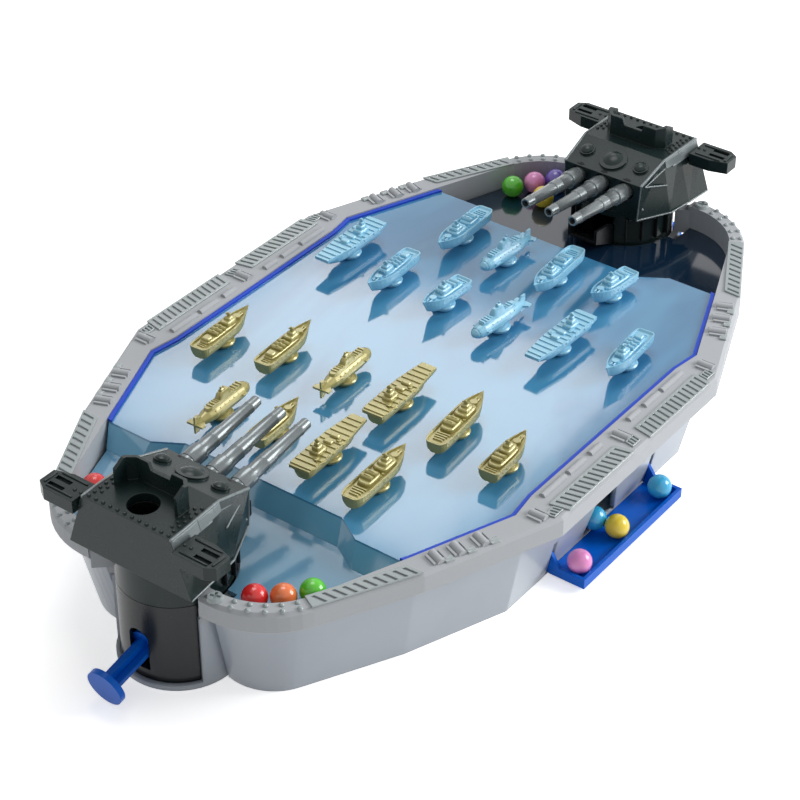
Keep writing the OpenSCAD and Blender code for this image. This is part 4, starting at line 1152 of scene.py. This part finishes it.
    def build(self) -> None:
        """Makes the turret's details and dresses its nodes."""
        pieces = (
            # The flanks' raised edges and panels take the lighter gunmetal: a painted highlight, not a
            # different plastic
            ("armour_edges", Finish.EDGE, "gunmetal", (), [partial(self.flank, side=side) for side in SIDES]),
            ("armour_trim", Finish.ARMOUR, "gunmetal", (), [self.rivets, self.grip_details]),
            ("gun_hoods", Finish.DARK, "chute_black", (), [self.hoods]),
            ("barrel_set", Finish.BARREL, "barrel_grey", (f"{self.label}_gun_barrels",), [self.barrels]),
            ("skirt_fins", Finish.COLUMN, "column_dark", (), [self.fins]),
        )
        for name, finish, slot, replaced, makers in pieces:
            shaper = Shaper(self.frame)
            for make in makers:
                make(shaper)
            shaper.finish(f"{self.label}_{name}", finish.material(), f"{self.label}_turret", slot, replaced)
        for part, finish in (("turret_shell", Finish.ARMOUR), ("turret_grips", Finish.ARMOUR),
                             ("turret_column", Finish.COLUMN), ("ball_tube", Finish.DARK),
                             ("launch_chute", Finish.DARK), ("plunger", Finish.BLUE)):
            dress_node(f"{self.label}_{part}", finish)
        self.spring()


# ---- balls and trays


@dataclass
class Ball:
    """One ball with its moulding seam."""

    name: str
    colour: BallColour
    place: Point
    radius: float = 6.0
    # Radians about the axis below
    seam_turn: float = 0.6
    seam_axis: Point = (1, 1, 0.4)

    def build(self, body: str, replaces: tuple[str, ...] = ()) -> None:
        """Makes the ball on its body, in place of the given nodes.

        Args:
            body: The body that it rides on.
            replaces: CAD nodes that it stands for.
        """
        shaper = Shaper(Matrix.Translation(self.place) @ Matrix.Rotation(self.seam_turn, 4, self.seam_axis))
        segments = 48
        bmesh.ops.create_uvsphere(shaper.bm, u_segments=segments, v_segments=32, radius=self.radius - 0.03,
                                  matrix=shaper.base)
        seam = [(self.radius - 0.2, -0.22), (self.radius - 0.01, 0.0), (self.radius - 0.2, 0.22)]
        shaper.lathe(seam, Matrix.Identity(4), segments)
        shaper.finish(self.name, self.colour.material(), body, "balls", replaces)


@dataclass
class BallSets:
    """The loose balls: two groups in the gutters and one in the front tray."""

    gutter: float = 53.0
    radius: float = 6.0
    # The last ball has only just left its mouth, and lies on the sill
    sill_in: float = 1.6
    sill_lift: float = 0.25

    def build(self) -> None:
        """Makes every ball."""
        tone = BallColour
        low, high = (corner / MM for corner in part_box("tray_balls"))
        front, rest = low.y + self.radius, low.z + self.radius
        sill = (high.y - self.radius + self.sill_in, rest + self.sill_lift)
        sets = (
            ("gutter_ball_left", "hull", "gutter_balls_left", [
                (tone.RED, -184, -45.5, self.gutter), (tone.ORANGE, -176.2, -55.2, self.gutter),
                (tone.GREEN, -166, -63.2, self.gutter), (tone.RED, -167.8, 62.6, self.gutter)]),
            ("gutter_ball_right", "hull", "gutter_balls_right", [
                (tone.GREEN, 167.4, 61.8, self.gutter), (tone.PINK, 178.2, 54.6, self.gutter),
                (tone.PURPLE, 187.6, 46.8, self.gutter), (tone.YELLOW, 168.2, 42.2, self.gutter)]),
            ("tray_ball", "front_tray", "tray_balls", [
                (tone.PINK, -35.5, front, rest), (tone.YELLOW, -3.0, front, rest),
                (tone.CYAN, 35.4, front, rest), (tone.CYAN, -4.6, *sill)]),
        )
        for name, body, node, balls in sets:
            for i, (colour, *place) in enumerate(balls):
                Ball(f"{name}_{i + 1}", colour, tuple(place)).build(body, () if i else (node,))
        for tray in ("front_tray", "rear_tray"):
            dress_node(tray, Finish.BLUE)
            dress_node(f"{tray}_pins", Finish.STEEL)


# ---- fleet


@dataclass(frozen=True)
class Fittings:
    """What one kind of ship carries: places along the ship, and heights above its main deck."""

    # Place, foot, top and half its yard
    mast: tuple[float, ...] = ()
    # First place, step, count and the hull's half width
    portholes: tuple[float, ...] = ()
    # Both ends and half the width between the two sides
    rail: tuple[float, ...] = ()
    # Place, height and the distance between two windows
    windows: tuple[float, ...] = ()
    # Places, width and height of raised planks
    planks: tuple[tuple[float, ...], float, float] = ((), 0, 0)
    # Centre, size and bevel
    boxes: tuple[tuple[Point, Point, float], ...] = ()
    # Centre, radius, height, direction and sides
    studs: tuple[tuple[Point, float, float, Point, int], ...] = ()
    # Both ends with their radii
    rods: tuple[tuple[Point, Point, float, float], ...] = ()
    # The points of each bead
    beads: tuple[tuple[Point, ...], ...] = ()


CARRIER_LOCKERS = ((-4.6, 3.0), (-14.8, -3.2), (2.6, -3.4))


class ShipKind(Enum):
    """The five kinds of ship, each with its fittings."""

    DESTROYER = Fittings(
        mast=(5, 5, 7, 1.5), portholes=(-14, 3.4, 5, 5.3), rail=(-15, 0, 4.95), windows=(8.7, 3.0, 1.5),
        planks=((-17.4, -16, 13.4, 15), 4.2, 0.2),
        studs=tuple(((x, 0, 3.2), 0.8, 0.6, UP, 10) for x in (-1.6, -4.4, -7.2)))
    CARRIER = Fittings(
        mast=(-9.6, 7.2, 8.8, 1.3), portholes=(-17, 3.8, 6, 5.0),
        boxes=(*(((x, y, 2.3), (2.6, 1.8, 1.0), 0.3) for x, y in CARRIER_LOCKERS),
               *(((x, side * 6.3, 0.8), (2.6, 0.8, 0.9), 0.2) for x in (-13, -5, 3) for side in SIDES)),
        studs=tuple(((x, y, 2.8), 0.6, 0.5, UP, 8) for x, y in CARRIER_LOCKERS))
    BATTLESHIP = Fittings(
        mast=(6.4, 5, 6.8, 1.6), portholes=(-14, 3.6, 6, 5.6), rail=(-14, 3, 5.2), windows=(9.8, 3.2, 1.6),
        planks=((16.4, 17.8), 3.0, 0.2),
        boxes=tuple(((x, 0, 4.0), (1.0, 3.4, 0.8), 0.25) for x in (-4.4, -8)),
        studs=tuple(((x, side * 2.6, 0), 1.0, 1.1, UP, 10) for x in (-1.6, 0.4) for side in SIDES))
    SUBMARINE = Fittings(
        planks=((-4.8, -3.4, 7.6), 3.2, 2.9),
        boxes=tuple(((12.4, side * 4.4, -1.2), (3.2, 1.4, 0.5), 0.2) for side in SIDES),
        studs=tuple(((-8 + 3.4 * i, side * 3.35, 0.5), 0.45, 0.35, (0, side, 0.7), 8)
                    for i in range(6) for side in SIDES),
        rods=(((0.2, 0, 6.2), (0.2, 0, 8.4), 0.6, 0.5), ((2.0, 0, 5.6), (2.0, 0, 7.8), 0.5, 0.45)),
        beads=(tuple((17.6, 3.0 * math.sin(math.tau * i / 12), 2.75 * math.cos(math.tau * i / 12) - 1.8)
                     for i in range(-4, 5)),))
    PATROL_BOAT = Fittings(
        mast=(0.6, 5.4, 7.2, 1.3), portholes=(-12, 3.2, 5, 5.3), rail=(-14, -1, 4.95),
        windows=(4.9, 3.1, 1.8), planks=((-14.6, -13.2), 6.0, 0.2),
        beads=tuple(((-16.2, side * 4.95, -2.1), (-2, side * 5.3, -2.1)) for side in SIDES))


@dataclass
class Ship:
    """One ship on its stand, with the small fittings that its kind carries."""

    node: str
    side: int
    place: Flat
    turn: float
    deck: float = 8.9
    porthole_height: float = -0.6
    rail_height: float = 0.9
    mast_radii: Flat = (0.85, 0.6)
    yard_radius: float = 0.45
    yard_drop: float = 0.7

    @property
    def carries(self) -> Fittings:
        """The fittings of the ship's kind, which its node's name says."""
        return next(kind.value for kind in ShipKind if f"_{kind.name.lower()}_" in self.node)

    @property
    def frame(self) -> Matrix:
        """The ship's local frame: +X to the bow, zero height on the main deck."""
        place = Matrix.Translation((self.side * self.place[0], self.place[1], DECK_TOP + self.deck))
        return place @ spun(self.turn + (0 if self.side < 0 else 180))

    def mast(self, shaper: Shaper, x: float, foot: float, top: float, yard: float) -> None:
        """A mast with one yard and a round top.

        Args:
            shaper: Where it is made.
            x: Place along the ship.
            foot: Height of its foot.
            top: Height of its top.
            yard: Half the yard's length.
        """
        across = top - self.yard_drop
        shaper.rod((x, 0, foot), (x, 0, top), *self.mast_radii, segments=12)
        shaper.rod((x, -yard, across), (x, yard, across), self.yard_radius, self.yard_radius)
        shaper.dome((x, 0, top), radius=0.75, height=0.6, sides=10)

    def portholes(self, shaper: Shaper, first: float, step: float, count: int, half: float) -> None:
        """A row of portholes on both sides of the hull.

        Args:
            shaper: Where they are made.
            first: Place of the first one.
            step: Distance between two.
            count: How many on each side.
            half: The hull's half width.
        """
        for i in range(count):
            for side in SIDES:
                centre = (first + step * i, side * (half - 0.05), self.porthole_height)
                shaper.dome(centre, radius=0.55, height=0.35, normal=(0, side, 0))

    def windows(self, shaper: Shaper, x: float, height: float, apart: float) -> None:
        """Three bridge windows that face the bow."""
        for y in (-apart, 0, apart):
            shaper.block((x, y, height), size=(0.4, 0.9, 0.8), bevel=0.1)

    def rail(self, shaper: Shaper, start: float, end: float, half: float) -> None:
        """A bead along the top of the bulwark on both sides.

        Args:
            shaper: Where it is made.
            start: Place of its first end.
            end: Place of its other end.
            half: Half the width between the two sides.
        """
        for side in SIDES:
            points = [(x, side * half, self.rail_height) for x in (start, (start + end) / 2, end)]
            shaper.ribbon(points, radius=0.34, sides=6)

    def build(self, finish: Finish) -> None:
        """Makes the fittings and dresses the ship.

        Args:
            finish: The fleet's finish.
        """
        shaper = Shaper(self.frame)
        carries = self.carries
        for make, values in ((self.mast, carries.mast), (self.portholes, carries.portholes),
                             (self.rail, carries.rail), (self.windows, carries.windows)):
            if values:
                make(shaper, *values)
        places, width, height = carries.planks
        for x in places:
            shaper.block((x, 0, height), size=(0.8, width, 0.5), bevel=0.15)
        for box in carries.boxes:
            shaper.block(*box)
        for stud in carries.studs:
            shaper.dome(*stud)
        for rod in carries.rods:
            shaper.rod(*rod, segments=10)
        for points in carries.beads:
            shaper.ribbon(points, radius=0.3, sides=6)
        shaper.finish(f"{self.node}_fittings", finish.material(), self.node,
                      "ship_gold" if self.side < 0 else "ship_blue")
        dress_node(self.node, finish)


@dataclass
class Fleets:
    """The two fleets of ten ships."""

    places: tuple[Flat, ...] = ((51, 84.5), (42.5, 51.5), (40.5, 16.8), (40.5, -16.8), (42.5, -51.5),
                                (51, -84.5), (97.5, 46), (93.5, 15.6), (93.5, -15.6), (97.5, -46))
    gold_turns: tuple[float, ...] = (3, 3.5, 3, 2.4, 5, 3.4, 2.5, 3, 3, 3)
    blue_turns: tuple[float, ...] = (0, 3, -2, -4, -1, 4, 2, -3, 4, -5)

    def build(self) -> None:
        """Makes every ship's fittings."""
        for colour, side, finish, turns in (("gold", -1, Finish.GOLD_SHIP, self.gold_turns),
                                            ("blue", 1, Finish.BLUE_SHIP, self.blue_turns)):
            for i, (place, turn) in enumerate(zip(self.places, turns)):
                node = next(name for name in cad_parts
                            if name.startswith(f"{colour}_") and name.endswith(f"_{i + 1}"))
                Ship(node, side, place, turn).build(finish)


# ---- studio


@dataclass(frozen=True)
class Lamp:
    """A soft lamp of a width and a depth, aimed at a point."""

    name: str
    place: Point
    size: Flat
    power: float
    target: Point = (0, 0, 0.05)

    def build(self) -> None:
        """Hangs the lamp."""
        light = bpy.data.lights.new(self.name, "AREA")
        light.shape = "RECTANGLE"
        light.size, light.size_y = self.size
        light.energy = self.power
        aim(placed(self.name, light), self.place, Vector(self.target) - Vector(self.place))


@dataclass
class Studio:
    """Pale floor, soft lamps and the camera."""

    camera_place: Point = (-0.75091, -0.54702, 0.7002)
    camera_back: Point = (-0.65006, -0.4858, 0.58431)
    lens: float = 103.93
    floor_size: float = 6.0
    floor_glow: float = 0.55
    soft_light: float = 0.34
    lamps: tuple[Lamp, ...] = (Lamp("lamp_behind", (1.22, 0.99, 1.2), (0.48, 0.56), 2.3, (1.22, 0.99, 0)),
                               Lamp("lamp_over", (0.35, 0.4, 1.7), (0.8, 0.8), 8),
                               Lamp("lamp_right", (1.2, -1.3, 0.9), (1.0, 1.0), 31))

    @staticmethod
    def shown(wiring: Wiring) -> bpy.types.NodeSocket:
        """A mask of the rays that show the background: from the camera, off gloss and through clear parts.

        Args:
            wiring: The node tree that the mask is made in.

        Returns:
            The mask's socket.
        """
        rays = wiring.node("ShaderNodeLightPath").outputs
        mask = rays["Is Camera Ray"]
        for label in ("Is Glossy Ray", "Is Transmission Ray"):
            mask = wiring.maths("MAXIMUM", mask, rays[label])
        return mask

    def floor(self) -> None:
        """The plain white floor."""
        bm = bmesh.new()
        bmesh.ops.create_grid(bm, x_segments=1, y_segments=1, size=self.floor_size)
        mesh = bpy.data.meshes.new("studio_floor")
        bm.to_mesh(mesh)
        bm.free()
        dress = Dresser("studio_floor_white")
        dress.surface(Roughness=0.9, Base_Color=WHITE)
        strength = dress.maths("MULTIPLY", self.shown(dress), self.floor_glow)
        glow = dress.node("ShaderNodeEmission", {"Strength": strength})
        both = dress.node("ShaderNodeAddShader")
        dress.link(dress.bsdf.outputs[0], both.inputs[0])
        dress.link(glow.outputs[0], both.inputs[1])
        dress.link(both.outputs[0], dress.tree.nodes["Material Output"].inputs["Surface"])
        mesh.materials.append(dress.material)
        made = placed("studio_floor", mesh)

    def world(self) -> None:
        """White to the camera and in reflections, a plain soft light on the object."""
        world = bpy.data.worlds.new("studio_world")
        world.use_nodes = True
        wiring = Wiring(world.node_tree)
        lit, seen = wiring.tree.nodes["Background"], wiring.node("ShaderNodeBackground", {"Color": WHITE})
        lit.inputs["Color"].default_value = WHITE
        lit.inputs["Strength"].default_value = self.soft_light
        mixed = wiring.node("ShaderNodeMixShader", {"Fac": self.shown(wiring)})
        wiring.link(lit.outputs[0], mixed.inputs[1])
        wiring.link(seen.outputs[0], mixed.inputs[2])
        wiring.link(mixed.outputs[0], wiring.tree.nodes["World Output"].inputs["Surface"])
        bpy.context.scene.world = world

    def camera(self) -> None:
        """The camera, looking down the long side of the game."""
        data = bpy.data.cameras.new("studio_camera")
        data.sensor_width = 36.0
        data.lens = self.lens
        data.clip_end = 20
        made = placed("studio_camera", data)
        aim(made, self.camera_place, -Vector(self.camera_back))
        bpy.context.scene.camera = made

    def build(self) -> None:
        """Sets the whole studio up."""
        bpy.context.scene.view_settings.view_transform = "Standard"
        self.camera()
        self.floor()
        self.world()
        for lamp in self.lamps:
            lamp.build()


def main() -> None:
    """Builds the studio and every part of the game, in order."""
    logging.basicConfig(level=logging.INFO, format="%(name)s: %(message)s")
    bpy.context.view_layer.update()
    Effects.build()
    Studio().build()
    Rim().build()
    for side in SIDES:
        Turret(side).build()
    BallSets().build()
    Fleets().build()


if __name__ == "__main__":
    main()
